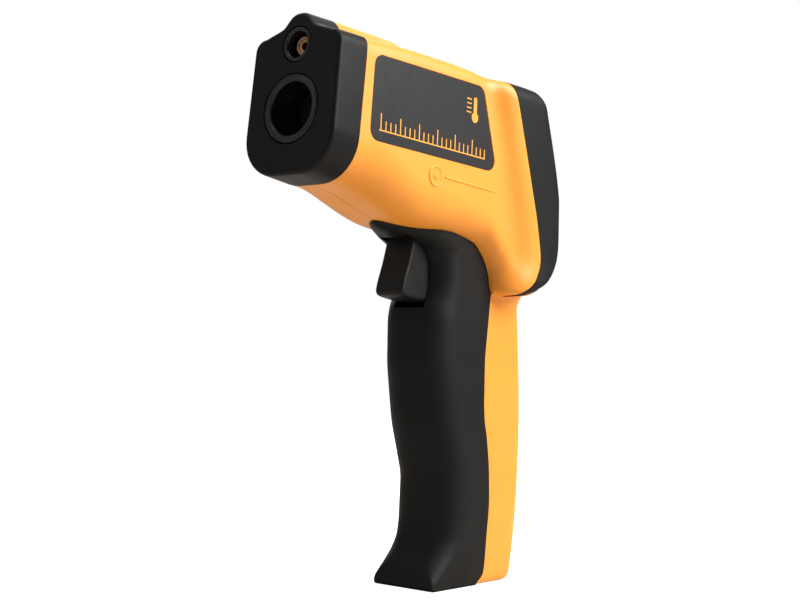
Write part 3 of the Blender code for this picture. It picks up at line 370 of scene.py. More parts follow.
def bevelled(made, width, segments=3, angle=40.0):
    step = made.modifiers.new("round", "BEVEL")
    step.width = width * MM
    step.segments = segments
    step.limit_method = "ANGLE"
    step.angle_limit = math.radians(angle)
    step.use_clamp_overlap = True
    return baked(made)


def piece(made, body, look, stands_for=(), angle=32.0):
    """Shade a finished mesh, give it its material and hang it on its CAD body."""
    made.data.materials.clear()
    made.data.materials.append(look)
    made.data.shade_smooth()
    made.data.set_sharp_from_angle(angle=math.radians(angle))
    weigh = made.modifiers.new("normals", "WEIGHTED_NORMAL")
    weigh.keep_sharp = True
    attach(made, body)
    if stands_for:
        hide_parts(*stands_for)
    return made


# ---------------------------------------------------------------- materials

WEAR_RADIUS = 0.35


class Nodes:
    """Short way to add and join shader nodes of one material."""

    def __init__(self, name):
        self.material = bpy.data.materials.new(name)
        self.material.use_nodes = True
        self.tree = self.material.node_tree
        self.shader = self.tree.nodes["Principled BSDF"]
        self.place = self.add("ShaderNodeTexCoord").outputs["Object"]

    def add(self, kind, **settings):
        made = self.tree.nodes.new(kind)
        for key, value in settings.items():
            setattr(made, key, value)
        return made

    def link(self, source, target):
        self.tree.links.new(source, target)

    def noise(self, scale, detail=3.0, roughness=0.55, stretch=None):
        made = self.add("ShaderNodeTexNoise")
        made.inputs["Scale"].default_value = scale
        made.inputs["Detail"].default_value = detail
        made.inputs["Roughness"].default_value = roughness
        self.link(self.stretched(stretch) if stretch else self.place, made.inputs["Vector"])
        return made.outputs["Fac"]

    def stretched(self, factors):
        made = self.add("ShaderNodeMapping")
        made.inputs["Scale"].default_value = factors
        self.link(self.place, made.inputs["Vector"])
        return made.outputs["Vector"]

    def cells(self, scale, feature="F1"):
        made = self.add("ShaderNodeTexVoronoi", feature=feature)
        made.inputs["Scale"].default_value = scale
        self.link(self.place, made.inputs["Vector"])
        return made.outputs["Distance"]

    def ranged(self, source, low, high, to_low, to_high):
        made = self.add("ShaderNodeMapRange")
        for key, value in (("From Min", low), ("From Max", high), ("To Min", to_low), ("To Max", to_high)):
            made.inputs[key].default_value = value
        self.link(source, made.inputs["Value"])
        return made.outputs["Result"]

    def mixed(self, share, first, second):
        made = self.add("ShaderNodeMix", data_type="RGBA")
        self.link(share, made.inputs["Factor"])
        for colour, socket in ((first, made.inputs["A"]), (second, made.inputs["B"])):
            if isinstance(colour, tuple):
                socket.default_value = (*colour, 1.0)
            else:
                self.link(colour, socket)
        return made.outputs["Result"]

    def bump(self, height, strength, distance, below=None):
        made = self.add("ShaderNodeBump")
        made.inputs["Strength"].default_value = strength
        made.inputs["Distance"].default_value = distance * MM
        self.link(height, made.inputs["Height"])
        if below:
            self.link(below, made.inputs["Normal"])
        return made.outputs["Normal"]

    def worn(self, low, high):
        """Share of wear, which rises on sharp edges and is broken up by noise."""
        soft = self.add("ShaderNodeBevel", samples=4)
        soft.inputs["Radius"].default_value = WEAR_RADIUS * MM
        turn = self.add("ShaderNodeVectorMath", operation="DOT_PRODUCT")
        self.link(soft.outputs["Normal"], turn.inputs[0])
        self.link(self.add("ShaderNodeNewGeometry").outputs["Normal"], turn.inputs[1])
        edge = self.ranged(turn.outputs["Value"], low, high, 1.0, 0.0)
        patch = self.ranged(self.noise(220.0, 4.0), 0.45, 0.62, 0.0, 1.0)
        both = self.add("ShaderNodeMath", operation="MULTIPLY", use_clamp=True)
        self.link(edge, both.inputs[0])
        self.link(patch, both.inputs[1])
        return both.outputs["Value"]


def scaled(colour, factor):
    return tuple(min(value * factor, 1.0) for value in colour)


def plastic(name, colour, rough, grain=2200.0, depth=0.02, mottle=0.06, wear=0.25, rough_spread=0.08,
            specular=0.5,
            coat=0.0):
    """Moulded plastic: spark-eroded grain, faint cloudiness, rubbed edges and uneven gloss."""
    n = Nodes(name)
    cloud = n.ranged(n.noise(45.0, 4.0), 0.35, 0.65, 0.0, 1.0)
    base = n.mixed(cloud, scaled(colour, 1.0 - mottle), scaled(colour, 1.0 + mottle))
    pale = tuple(value + (0.6 - value) * wear * 0.35 for value in colour)
    n.link(n.mixed(n.worn(0.90, 0.995), base, pale), n.shader.inputs["Base Color"])
    smear = n.noise(95.0, 5.0, 0.65)
    n.link(n.ranged(smear, 0.3, 0.7, rough - rough_spread, rough + rough_spread),
           n.shader.inputs["Roughness"])
    coarse = n.bump(n.noise(grain * 0.25, 2.0), 0.25, depth)
    n.link(n.bump(n.noise(grain, 2.0), 0.6, depth, coarse), n.shader.inputs["Normal"])
    n.shader.inputs["Specular IOR Level"].default_value = specular
    n.shader.inputs["Coat Weight"].default_value = coat
    n.shader.inputs["Coat Roughness"].default_value = 0.25
    return n.material


def orange_plastic():
    material = plastic("orange_abs", (0.95, 0.345, 0.036), 0.42, 2600.0, 0.012, 0.035, 0.2, 0.06, 0.42)
    shader = material.node_tree.nodes["Principled BSDF"]
    shader.inputs["Subsurface Weight"].default_value = 0.12
    shader.inputs["Subsurface Radius"].default_value = (1.0, 0.35, 0.08)
    shader.inputs["Subsurface Scale"].default_value = 0.0015
    return material


def soft_grip():
    """Rubbery coat: fine skin, uneven gloss and darker handled patches."""
    n = Nodes("soft_grip")
    handled = n.ranged(n.noise(28.0, 4.0, 0.6), 0.38, 0.66, 0.0, 1.0)
    base = n.mixed(handled, (0.0045, 0.0045, 0.0043), (0.0070, 0.0070, 0.0066))
    n.link(n.mixed(n.worn(0.90, 0.995), base, (0.02, 0.02, 0.02)), n.shader.inputs["Base Color"])
    n.link(n.ranged(n.noise(70.0, 5.0, 0.65), 0.3, 0.7, 0.46, 0.60), n.shader.inputs["Roughness"])
    skin = n.bump(n.cells(1500.0), 0.35, 0.015)
    n.link(n.bump(n.noise(3200.0, 2.0), 0.45, 0.015, skin), n.shader.inputs["Normal"])
    n.shader.inputs["Specular IOR Level"].default_value = 0.18
    return n.material


def label_film():
    """Dark grey polyester film with fine metallic flecks."""
    n = Nodes("label_film")
    fleck = n.ranged(n.cells(2600.0), 0.06, 0.20, 1.0, 0.0)
    field = n.ranged(n.noise(900.0, 2.0), 0.42, 0.60, 0.0, 1.0)
    share = n.add("ShaderNodeMath", operation="MULTIPLY", use_clamp=True)
    n.link(fleck, share.inputs[0])
    n.link(field, share.inputs[1])
    shade = n.ranged(n.noise(40.0, 4.0), 0.35, 0.65, 0.0, 1.0)
    ground = n.mixed(shade, (0.015, 0.015, 0.0155), (0.021, 0.021, 0.0215))
    n.link(n.mixed(share.outputs["Value"], ground, (0.08, 0.08, 0.08)), n.shader.inputs["Base Color"])
    n.shader.inputs["Specular IOR Level"].default_value = 0.2
    n.link(n.ranged(n.noise(600.0, 3.0), 0.3, 0.7, 0.40, 0.56), n.shader.inputs["Roughness"])
    n.link(n.bump(n.noise(2400.0, 2.0), 0.4, 0.01), n.shader.inputs["Normal"])
    return n.material


def metal(name, colour, rough, stretch=(1.0, 1.0, 1.0), lines=1200.0, tarnish=0.25):
    """Turned or drawn metal: fine tool lines, tarnish patches and uneven gloss."""
    n = Nodes(name)
    dull = n.ranged(n.noise(260.0, 5.0, 0.65), 0.42, 0.68, 0.0, tarnish)
    n.link(n.mixed(dull, colour, scaled(colour, 0.35)), n.shader.inputs["Base Color"])
    line = n.noise(lines, 2.0, 0.5, stretch)
    n.link(n.ranged(line, 0.3, 0.7, rough - 0.08, rough + 0.12), n.shader.inputs["Roughness"])
    n.link(n.bump(line, 0.35, 0.01), n.shader.inputs["Normal"])
    n.shader.inputs["Metallic"].default_value = 1.0
    return n.material


def glass(name, colour, rough):
    """Clear plastic window with a faint haze."""
    n = Nodes(name)
    haze = n.ranged(n.noise(160.0, 4.0), 0.4, 0.7, 0.0, 1.0)
    n.link(n.mixed(haze, colour, scaled(colour, 0.94)), n.shader.inputs["Base Color"])
    n.link(n.ranged(n.noise(420.0, 4.0), 0.35, 0.7, rough, rough + 0.05), n.shader.inputs["Roughness"])
    n.shader.inputs["Transmission Weight"].default_value = 1.0
    n.shader.inputs["IOR"].default_value = 1.3
    return n.material


def lens_coat(name, colour, rough):
    """Dark polished optic under a faint coat, with a painted sheen: its colour is painted lighter towards grazing
    view angles.
    """
    n = Nodes(name)
    # painted sheen: the facing share lightens the optic's colour up to 2.2 times where the surface turns away from
    # the view
    film = n.add("ShaderNodeLayerWeight")
    film.inputs["Blend"].default_value = 0.4
    n.link(n.mixed(film.outputs["Facing"], colour, scaled(colour, 2.2)), n.shader.inputs["Base Color"])
    n.link(n.ranged(n.noise(300.0, 4.0), 0.35, 0.7, rough, rough + 0.07), n.shader.inputs["Roughness"])
    n.shader.inputs["Metallic"].default_value = 0.2
    n.shader.inputs["Coat Weight"].default_value = 0.3
    return n.material


def circuit_board():
    """Solder mask over a pattern of tracks with small bare pads."""
    n = Nodes("circuit_board")
    bricks = n.add("ShaderNodeTexBrick")
    bricks.inputs["Scale"].default_value = 170.0
    bricks.inputs["Mortar Size"].default_value = 0.045
    n.link(n.stretched((1.0, 1.0, 1.6)), bricks.inputs["Vector"])
    track = n.ranged(bricks.outputs["Fac"], 0.0, 1.0, 0.0, 1.0)
    base = n.mixed(track, (0.012, 0.115, 0.045), (0.02, 0.17, 0.065))
    pad = n.ranged(n.cells(520.0), 0.10, 0.13, 1.0, 0.0)
    n.link(n.mixed(pad, base, (0.55, 0.52, 0.46)), n.shader.inputs["Base Color"])
    n.link(n.ranged(n.noise(500.0), 0.3, 0.7, 0.28, 0.42), n.shader.inputs["Roughness"])
    n.link(n.bump(track, 0.5, 0.03), n.shader.inputs["Normal"])
    return n.material


def battery_can():
    """Lacquered steel can: plain dark wrap with a pale band below the terminals."""
    n = Nodes("battery_can")
    split = n.add("ShaderNodeSeparateXYZ")
    n.link(n.place, split.inputs["Vector"])
    band = n.ranged(split.outputs["Z"], 0.0455, 0.0460, 0.0, 1.0)
    wrap = n.mixed(n.noise(60.0, 4.0), (0.02, 0.035, 0.06), (0.03, 0.05, 0.085))
    n.link(n.mixed(band, wrap, (0.42, 0.43, 0.44)), n.shader.inputs["Base Color"])
    n.link(n.ranged(n.noise(350.0, 4.0), 0.3, 0.7, 0.22, 0.38), n.shader.inputs["Roughness"])
    n.link(n.bump(n.noise(700.0, 2.0, 0.5, (1.0, 1.0, 0.1)), 0.2, 0.02), n.shader.inputs["Normal"])
    n.shader.inputs["Metallic"].default_value = 0.35
    return n.material


def lcd_face():
    """Reflective display film: grey-green with a fine pixel-free grain."""
    n = Nodes("lcd_face")
    cloud = n.ranged(n.noise(70.0, 4.0), 0.35, 0.65, 0.0, 1.0)
    n.link(n.mixed(cloud, (0.30, 0.34, 0.27), (0.36, 0.40, 0.32)), n.shader.inputs["Base Color"])
    n.link(n.ranged(n.noise(2400.0, 2.0), 0.3, 0.7, 0.26, 0.36), n.shader.inputs["Roughness"])
    n.link(n.bump(n.noise(3500.0, 1.0), 0.2, 0.005), n.shader.inputs["Normal"])
    return n.material


ORANGE = orange_plastic()
GRIP = soft_grip()
NOSE = plastic("nose_black", (0.0042, 0.0042, 0.0042), 0.46, 2400.0, 0.010, 0.08, 0.02, 0.05, 0.18)
CAP = plastic("cap_black", (0.0055, 0.0055, 0.0057), 0.50, 2000.0, 0.014, 0.08, 0.03, 0.05, 0.20)
TRIGGER = plastic("trigger_black", (0.0050, 0.0050, 0.0048), 0.46, 2400.0, 0.010, 0.10, 0.03, 0.05, 0.25)
RING = plastic("ring_black", (0.0045, 0.0045, 0.0045), 0.34, 2000.0, 0.01, 0.08, 0.3, 0.05, 0.5)
BORE = plastic("bore_black", (0.0015, 0.0015, 0.0015), 0.66, 1500.0, 0.03, 0.10, 0.1, 0.08, 0.2)
INNER = plastic("inner_black", (0.02, 0.02, 0.021), 0.5, 1600.0, 0.03, 0.10, 0.2, 0.08, 0.4)
RUBBER = plastic("key_rubber", (0.030, 0.030, 0.031), 0.55, 2600.0, 0.02, 0.10, 0.25, 0.06, 0.35)
CHIP = plastic("chip_resin", (0.018, 0.018, 0.019), 0.46, 2200.0, 0.02, 0.12, 0.2, 0.08, 0.4)
ELASTOMER = plastic("elastomer", (0.035, 0.035, 0.04), 0.6, 1800.0, 0.03, 0.12, 0.2, 0.08, 0.3)
PRINT = plastic("label_print", (0.86, 0.36, 0.04), 0.5, 2800.0, 0.008, 0.10, 0.1, 0.06, 0.3)
KEY_PRINT = plastic("key_print", (0.72, 0.72, 0.70), 0.5, 2800.0, 0.008, 0.08, 0.1, 0.06, 0.3)
SEGMENTS = plastic("lcd_segments", (0.16, 0.19, 0.15), 0.3, 2800.0, 0.004, 0.05, 0.1, 0.05, 0.4)
RED_LEAD = plastic("red_lead", (0.50, 0.018, 0.015), 0.4, 1500.0, 0.02, 0.10, 0.2, 0.06, 0.4)
BLACK_LEAD = plastic("black_lead", (0.018, 0.018, 0.018), 0.4, 1500.0, 0.02, 0.12, 0.2, 0.06, 0.4)
FILM = label_film()
BRASS = metal("turned_brass", (0.50, 0.30, 0.17), 0.38, (0.15, 1.0, 1.0), 2600.0, 0.3)
STEEL = metal("plated_steel", (0.60, 0.60, 0.61), 0.30, (1.0, 0.3, 1.0), 1400.0, 0.3)
DARK_STEEL = metal("screw_steel", (0.32, 0.32, 0.33), 0.34, (1.0, 0.3, 1.0), 1400.0, 0.35)
SPRING_STEEL = metal("spring_steel", (0.52, 0.52, 0.54), 0.26, (1.0, 1.0, 1.0), 1800.0, 0.25)
WINDOW = glass("display_glass", (0.90, 0.92, 0.91), 0.03)
LASER_GLASS = lens_coat("laser_glass", (0.05, 0.03, 0.03), 0.06)
SILICON = lens_coat("silicon_optic", (0.018, 0.018, 0.024), 0.10)
BOARD = circuit_board()
BATTERY = battery_can()
LCD = lcd_face()


# ---------------------------------------------------------------- lofted bodies

CORNER_STEPS = 10
SIDE_STEPS = 30
FLAT_STEPS = 8


def section(half_width, bottom, top, top_radius, bottom_radius, top_end=0.0):
    """Right half of a barrel section as (y, z), from the bottom centre to y = top_end on the top."""
    points = [(y, bottom) for y in spread(0.0, half_width - bottom_radius, FLAT_STEPS)[:-1]]
    for angle in spread(0.0, math.pi / 2, CORNER_STEPS):
        points.append((half_width - bottom_radius + bottom_radius * math.sin(angle),
                       bottom + bottom_radius - bottom_radius * math.cos(angle)))
    points += [(half_width, z) for z in spread(bottom + bottom_radius, top - top_radius, SIDE_STEPS)[1:-1]]
    for angle in spread(0.0, math.pi / 2, CORNER_STEPS):
        points.append((half_width - top_radius + top_radius * math.cos(angle),
                       top - top_radius + top_radius * math.sin(angle)))
    points += [(y, top) for y in spread(half_width - top_radius, top_end, FLAT_STEPS)[1:]]
    return points


def mirrored(half, x_at):
    """Whole ring from its right half, with x given by height."""
    right = [(x_at(z), y, z) for y, z in half]
    left = [(x_at(z), -y, z) for y, z in reversed(half[1:-1])]
    return right + left


def barrel(name, grow=0.0, first=0.0, last=1.0, steps=90):
    rings = []
    for share in spread(first, last, steps):
        half_width, bottom, top, top_radius, bottom_radius = row_at(BARREL, share)
        half = section(half_width + grow, bottom - grow, top + grow, max(top_radius + grow, 1.0),
                       max(bottom_radius + grow, 1.0))
        rings.append(mirrored(half, lambda z, s=share: nose_joint_x(z) + (along(REAR_EDGE,
                                                                                z) - nose_joint_x(z)) * s))
    return loft(name, rings)


def bump_points(base, top):
    """Right half of the sight bump over a flat at height base, from its foot to its crest."""
    curve = smooth_through([(y, z, 0.0) for y, z in BUMP], 4)
    stretch = (top - base) / (BUMP_TOP - BUMP_BASE)
    return [(spot.x, base + (spot.y - BUMP_BASE) * stretch) for spot in curve]


def ridge(name):
    """Orange sight ridge that runs down into the top of the barrel."""
    rings = []
    for x in spread(-44.0, -0.5, 110):
        share = (x - nose_joint_x(147.0)) / (along(REAR_EDGE, 147.0) - nose_joint_x(147.0))
        base = row_at(BARREL, share)[2]
        top = max(along(RIDGE_TOP, x), base - 0.4)
        half = [(0.0, 140.0), (BUMP[0][0], 140.0), (BUMP[0][0], base - 0.5)] + bump_points(base - 0.02, top)
        rings.append(mirrored(half, lambda z, x=x: x))
    return loft(name, rings)


def handle_ring(z, front, depth, squareness, rear, half_width, toe):
    """Level section of the handle: rounded front, flat toe facet, straight sides and rounded rear."""
    half = []
    for angle in spread(0.0, math.pi / 2, 28):
        half.append((front + depth * (1 - max(math.cos(angle), 0.0) ** (2 / squareness)),
                     half_width * math.sin(angle) ** (2 / squareness)))
    half += [(x, half_width) for x in spread(front + depth, rear - REAR_DEPTH, 12)[1:-1]]
    power = 2 / REAR_SQUARENESS
    for angle in spread(0.0, math.pi / 2, 16):
        half.append((rear - REAR_DEPTH * (1 - math.sin(angle) ** power),
                     half_width * max(math.cos(angle), 0.0) ** power))
    half[-1] = (rear, 0.0)
    soft = 0.35
    half = [((x + toe + math.sqrt((x - toe) ** 2 + soft * soft)) / 2 if abs(x - toe) < 8 else max(x, toe), y)
            for x, y in half]
    return [(x, y, z) for x, y in half] + [(x, -y, z) for x, y in reversed(half[1:-1])]


def handle_heights():
    return spread(0.0, 3.0, 12)[:-1] + spread(3.0, 79.0, 90)[:-1] + spread(79.0, 94.0,
                                                                           24)[:-1] + spread(94.0, 103.0, 40)


def handle(name, grow=0.0):
    rings = []
    for z in handle_heights():
        front, depth, squareness, rear, width = row_at(HANDLE, z)
        rings.append(handle_ring(z, front - grow, depth, squareness, rear + grow, width + grow,
                                 along(TOE_FACET, z) - grow))
    return loft(name, rings)


def handle_hollow(name):
    """The space inside the handle, which opens upwards into the barrel."""
    rings = [handle_ring(SHELL, 9.0, 3.0, 4.0, 42.6, 11.0 - SHELL, -50.0)]
    for z in spread(6.2, 95.0, 70):
        front, depth, squareness, rear, width = row_at(HANDLE, z)
        rings.append(handle_ring(z, front + SHELL, depth - 1.0, squareness, rear - SHELL, width - SHELL,
                                 along(TOE_FACET, z) + SHELL))
    rings.append(handle_ring(104.0, 7.5, 9.0, 2.2, 44.2, 11.3 - SHELL, -50.0))
    return loft(name, rings)


def cover_zone(name, shift):
    """Everything in front of the joint between the grip cover and the handle's back."""
    edge = [(along(COVER_EDGE, z) + shift, z) for z in spread(-5.0, 112.0, 120)]
    return prism(name, edge + [(-30.0, 112.0), (-30.0, -5.0)], -30.0, 30.0)


def orange_zone(name):
    """Everything between the nose joint, the display cap's joint and the cap's underside."""
    rear = [(along(REAR_EDGE, z), z) for z in spread(147.0, 84.7, 60)]
    outline = [(nose_joint_x(-5.0), -5.0), (nose_joint_x(165.0), 165.0), (15.3, 165.0)] + rear
    outline += [(32.0, 84.3), (35.0, 84.7), (37.8, 85.8), (40.5, 86.9), (43.0, 88.3), (45.4, 90.1),
                (47.4, 92.4),
                (60.0, 97.0), (60.0, -5.0)]
    return prism(name, outline, -30.0, 30.0)


def label_outline(grow=0.0, radius=3.0, steps=8):
    """Outline (x, z) of the side label, with rounded corners."""
    corners = [(-35.2 - grow, 120.5 - grow), (20.3 + 1.2 * grow, 119.5 - grow), (12.6 + grow, 142.9 + grow),
               (-34.0 - grow, 142.9 + grow)]
    radius += grow
    points = []
    for index, corner in enumerate(corners):
        here = Vector(corner)
        back = (Vector(corners[index - 1]) - here).normalized()
        ahead = (Vector(corners[(index + 1) % 4]) - here).normalized()
        half_angle = back.angle(ahead) / 2
        centre = here + (back + ahead).normalized() * radius / math.sin(half_angle)
        first = here + back * radius / math.tan(half_angle) - centre
        last = here + ahead * radius / math.tan(half_angle) - centre
        points += [tuple(centre + first.slerp(last, step / steps) * radius) for step in range(steps + 1)]
    return points


def body_solid():
    """Outside of the whole orange moulding, with its handle blended into the barrel."""
    back = cut(handle("back"), cover_zone("back_cover", -1.5))
    gusset = loft("gusset", [handle_ring(z, 26.8, 10.0, 2.2, 45.0, along(GUSSET, z), -50.0)
                             for z in spread(70.0, 92.0, 30)])
    whole = relaxed(join(barrel("orange", first=-0.10, last=1.08), back, gusset), 0.55, 36)
    whole = join(whole, ridge("ridge"))
    cover_room = cut(trim(cover_zone("cover_room", SEAM), handle("cover_hull", 1.2)),
                     barrel("room_barrel", -0.03))
    return trim(cut(whole, cover_room), orange_zone("orange_zone"))


def rib_plate(name, x, side):
    outline = [(-side * 1.0, 105.5), (side * 15.0, 112.0), (side * 15.0, 138.0), (-side * 1.0, 138.0)]
    rib = prism(name, outline, x - 0.8, x + 0.8, across="X")
    return cut(rib, rod(name + "_bore", (x - 5, 0, IR_AXIS_Z), (x + 5, 0, IR_AXIS_Z), 9.2, 48))


def housing_halves():
    """The two orange shells, hollowed, with their bosses, ribs, recesses and openings."""
    whole = cut(body_solid(), barrel("hollow", -SHELL - 0.1, -0.06, 1.06), handle_hollow("handle_hollow"),
                rod("laser_way", (-45, 0, LASER_AXIS_Z), (-27, 0, LASER_AXIS_Z), 3.6),
                block("trigger_slot", (-5.5, -5.5, 94.0), (14.0, 5.5, 103.5)))
    whole = join(whole, block("sole", (14.6, -9.0, 0.02), (30.0, 9.0, SHELL + 0.1)))
    recess = cut(prism("recess", label_outline(0.18), -30.0, 30.0),
                 barrel("recess_floor", -0.42, -0.1, 1.05))
    whole = cut(whole, recess)
    pivot_x, pivot_z = TRIGGER_PIVOT
    for name, side, node in (("left_shell", -1, "left_housing"), ("right_shell", 1, "right_housing")):
        half = copied(whole, name)
        ends = sorted((side * SEAM, side * 40.0))
        half = trim(half, block(name + "_side", (-80.0, ends[0], -20.0), (80.0, ends[1], 180.0)))
        for index, ((x, z), wall, seat) in enumerate(zip(SCREW_POINTS, BOSS_WALLS, SCREW_SEATS)):
            boss = rod(f"{name}_boss_{index}", (x, side * SEAM, z), (x, side * wall, z), BOSS_RADIUS)
            if z > 100.0:
                boss = trim(boss, barrel(f"{name}_boss_room_{index}", -ROOT))
            half = join(half, boss)
        for index, x in enumerate(RIB_PLACES):
            rib = trim(rib_plate(f"{name}_rib_{index}", x, side), barrel(f"{name}_rib_room_{index}", -ROOT))
            half = join(half, trim(rib, block(f"{name}_rib_side", (-80.0, ends[0], -20.0),
                                              (80.0, ends[1], 180.0))))
        pivot = rod(f"{name}_pivot", (pivot_x, side * 5.8, pivot_z), (pivot_x, side * 16.0, pivot_z), 2.8)
        half = join(half, trim(pivot, barrel(name + "_pivot_room", -ROOT)))
        half = cut(half, rod(name + "_pivot_bore", (pivot_x, side * 5.0, pivot_z),
                             (pivot_x, side * 9.4, pivot_z), PIVOT_BORE))
        for index, ((x, z), seat) in enumerate(zip(SCREW_POINTS, SCREW_SEATS)):
            if side < 0:
                half = cut(half, rod(f"{name}_pilot_{index}", (x, 1.0, z), (x, -7.6, z), 1.15, 24))
            else:
                well = turned(f"{name}_well_{index}",
                              [(0.0, -30.0), (1.3, -30.0), (1.3, 0.0), (2.25, 0.0), (2.25, 30.0),
                                                       (0.0, 30.0)], (x, seat, z), (0, 1, 0), 32)
                half = cut(half, well)
        piece(half, "housing", ORANGE, (node,))
    bpy.data.objects.remove(whole)


# ---------------------------------------------------------------- labels and side marks

def film_and_print():
    """Side labels with a plain tick scale and a thermometer mark printed on them."""
    for name, side, node in (("left_film", -1, "left_label"), ("right_film", 1, "right_label")):
        ends = sorted((side * 10.0, side * 25.0))
        film = trim(prism(name, label_outline(-0.02), *ends), barrel(name + "_skin", -0.12))
        film = cut(film, barrel(name + "_under", -0.38, -0.1, 1.05))
        piece(film, "housing", FILM, (node,))
        outlines = [[(-31.6, 123.2), (14.6, 122.4), (14.5, 122.75), (-31.6, 123.55)]]
        for index in range(24):
            x = -31.2 + index * 1.97
            foot = 123.4 - (x + 31.6) * 0.0173
            height = 4.4 if index % 4 == 0 else 2.6
            outlines.append([(x, foot), (x + 0.38, foot), (x + 0.38, foot + height), (x, foot + height)])
        stem = [(9.2 + 0.75 * math.cos(angle), 138.6 + 0.75 * math.sin(angle)) for angle in spread(0.0,
                                                                                                   math.pi,
                                                                                                   10)]
        outlines.append(stem + [(8.45, 134.6), (9.95, 134.6)])
        outlines.append([(9.2 + 1.5 * math.cos(angle), 133.6 + 1.5 * math.sin(angle))
                         for angle in spread(0.0, 2 * math.pi, 28)[:-1]])
        for step in range(4):
            outlines.append([(5.3, 134.6 + step * 1.25), (7.4, 134.6 + step * 1.25),
                             (7.4, 134.95 + step * 1.25),
                             (5.3, 134.95 + step * 1.25)])
        ink = prism(name + "_print", outlines[0], *ends)
        for index, outline in enumerate(outlines[1:]):
            ink = join(ink, prism(f"{name}_print_{index}", outline, *ends))
        ink = cut(trim(ink, barrel(name + "_ink_skin", -0.085)),
                  barrel(name + "_ink_under", -0.125, -0.1, 1.05))
        piece(ink, "housing", PRINT)


def side_marks():
    """Raised line and ring moulded on each side below the label."""
    def side_y(x):
        return along([(-39.0, 15.45), (-28.0, 15.7), (-15.2, 16.1), (2.6, 16.5), (16.2, 16.8)], x)

    for name, side in (("left_mark", -1), ("right_mark", 1)):
        points = []
        for x in spread(-3.6, 20.2, 40):
            points.append((x, side * (side_y(x) - 0.12), 114.9 - (x + 4.0) * 0.0455))
        mark = tube(name, points, 0.42, 16)
        loop = [(-7.6 + 2.7 * math.cos(angle), side * (side_y(-7.6) - 0.12), 114.6 + 2.7 * math.sin(angle))
                for angle in spread(0.0, 2 * math.pi, 64)]
        ring = tube(name + "_ring", loop[:-1] + [loop[0]], 0.36, 14)
        dot = turned(name + "_dot", [(0.0, -0.4), (0.9, -0.4), (0.9, 0.05), (0.7, 0.22), (0.0, 0.3)],
                     (-7.6, side * side_y(-7.6), 114.6), (0, side, 0), 32)
        piece(mark, "housing", ORANGE)
        piece(ring, "housing", ORANGE)
        piece(dot, "housing", ORANGE)


# ---------------------------------------------------------------- nose

def nose_half(inset, share):
    """Right half of the nose outline at a share of its depth, drawn in by an inset."""
    half_width, bottom, top = 15.5 - 0.1 * share, 109.9 - 1.2 * share, 147.2
    top_radius, bottom_radius = 3.4, 11.0 + 0.5 * share
    half = section(half_width, bottom, top, top_radius, bottom_radius, BUMP[0][0])
    half = half[:-1] + bump_points(top, BUMP_TOP - 0.1 + 0.1 * share)
    taper = 0.5 * (1.0 - share)
    half = [(y - taper * max(z - 118.0, 0.0) / 30.0 * min(y / 12.0, 1.0), z) for y, z in half]
    if not inset:
        return half
    drawn = []
    for index, (y, z) in enumerate(half):
        before = half[index - 1] if index else (-half[1][0], half[1][1])
        after = half[index + 1] if index + 1 < len(half) else (-half[-2][0], half[-2][1])
        run = Vector((after[0] - before[0], after[1] - before[1])).normalized()
        drawn.append((max(y - run.y * inset, 0.0), z + run.x * inset))
    drawn[0] = (0.0, drawn[0][1])
    drawn[-1] = (0.0, drawn[-1][1])
    return drawn


def nose_solid(name, inset, front, rear, rounding):
    """Nose solid from its face to its rear joint, with a rounded front rim."""
    rings = []
    for angle in spread(0.0, math.pi / 2, 7) if rounding else [math.pi / 2]:
        depth = rounding * (1 - math.sin(angle))
        drawn = nose_half(inset + rounding * (1 - math.cos(angle)) if rounding else inset, 0.0)
        rings.append((drawn, depth))
    rings = rings[::-1] if rounding else rings
    made = [mirrored(half, lambda z, d=depth: nose_face_x(z) + front + d) for half, depth in rings]
    for share in (0.3, 0.6, 0.85, 1.0):
        half = nose_half(inset, share)
        made.append(mirrored(half, lambda z, s=share: (nose_face_x(z) + front + rounding) * (1 - s)
                             + (nose_joint_x(z) - rear) * s))
    return loft(name, made)


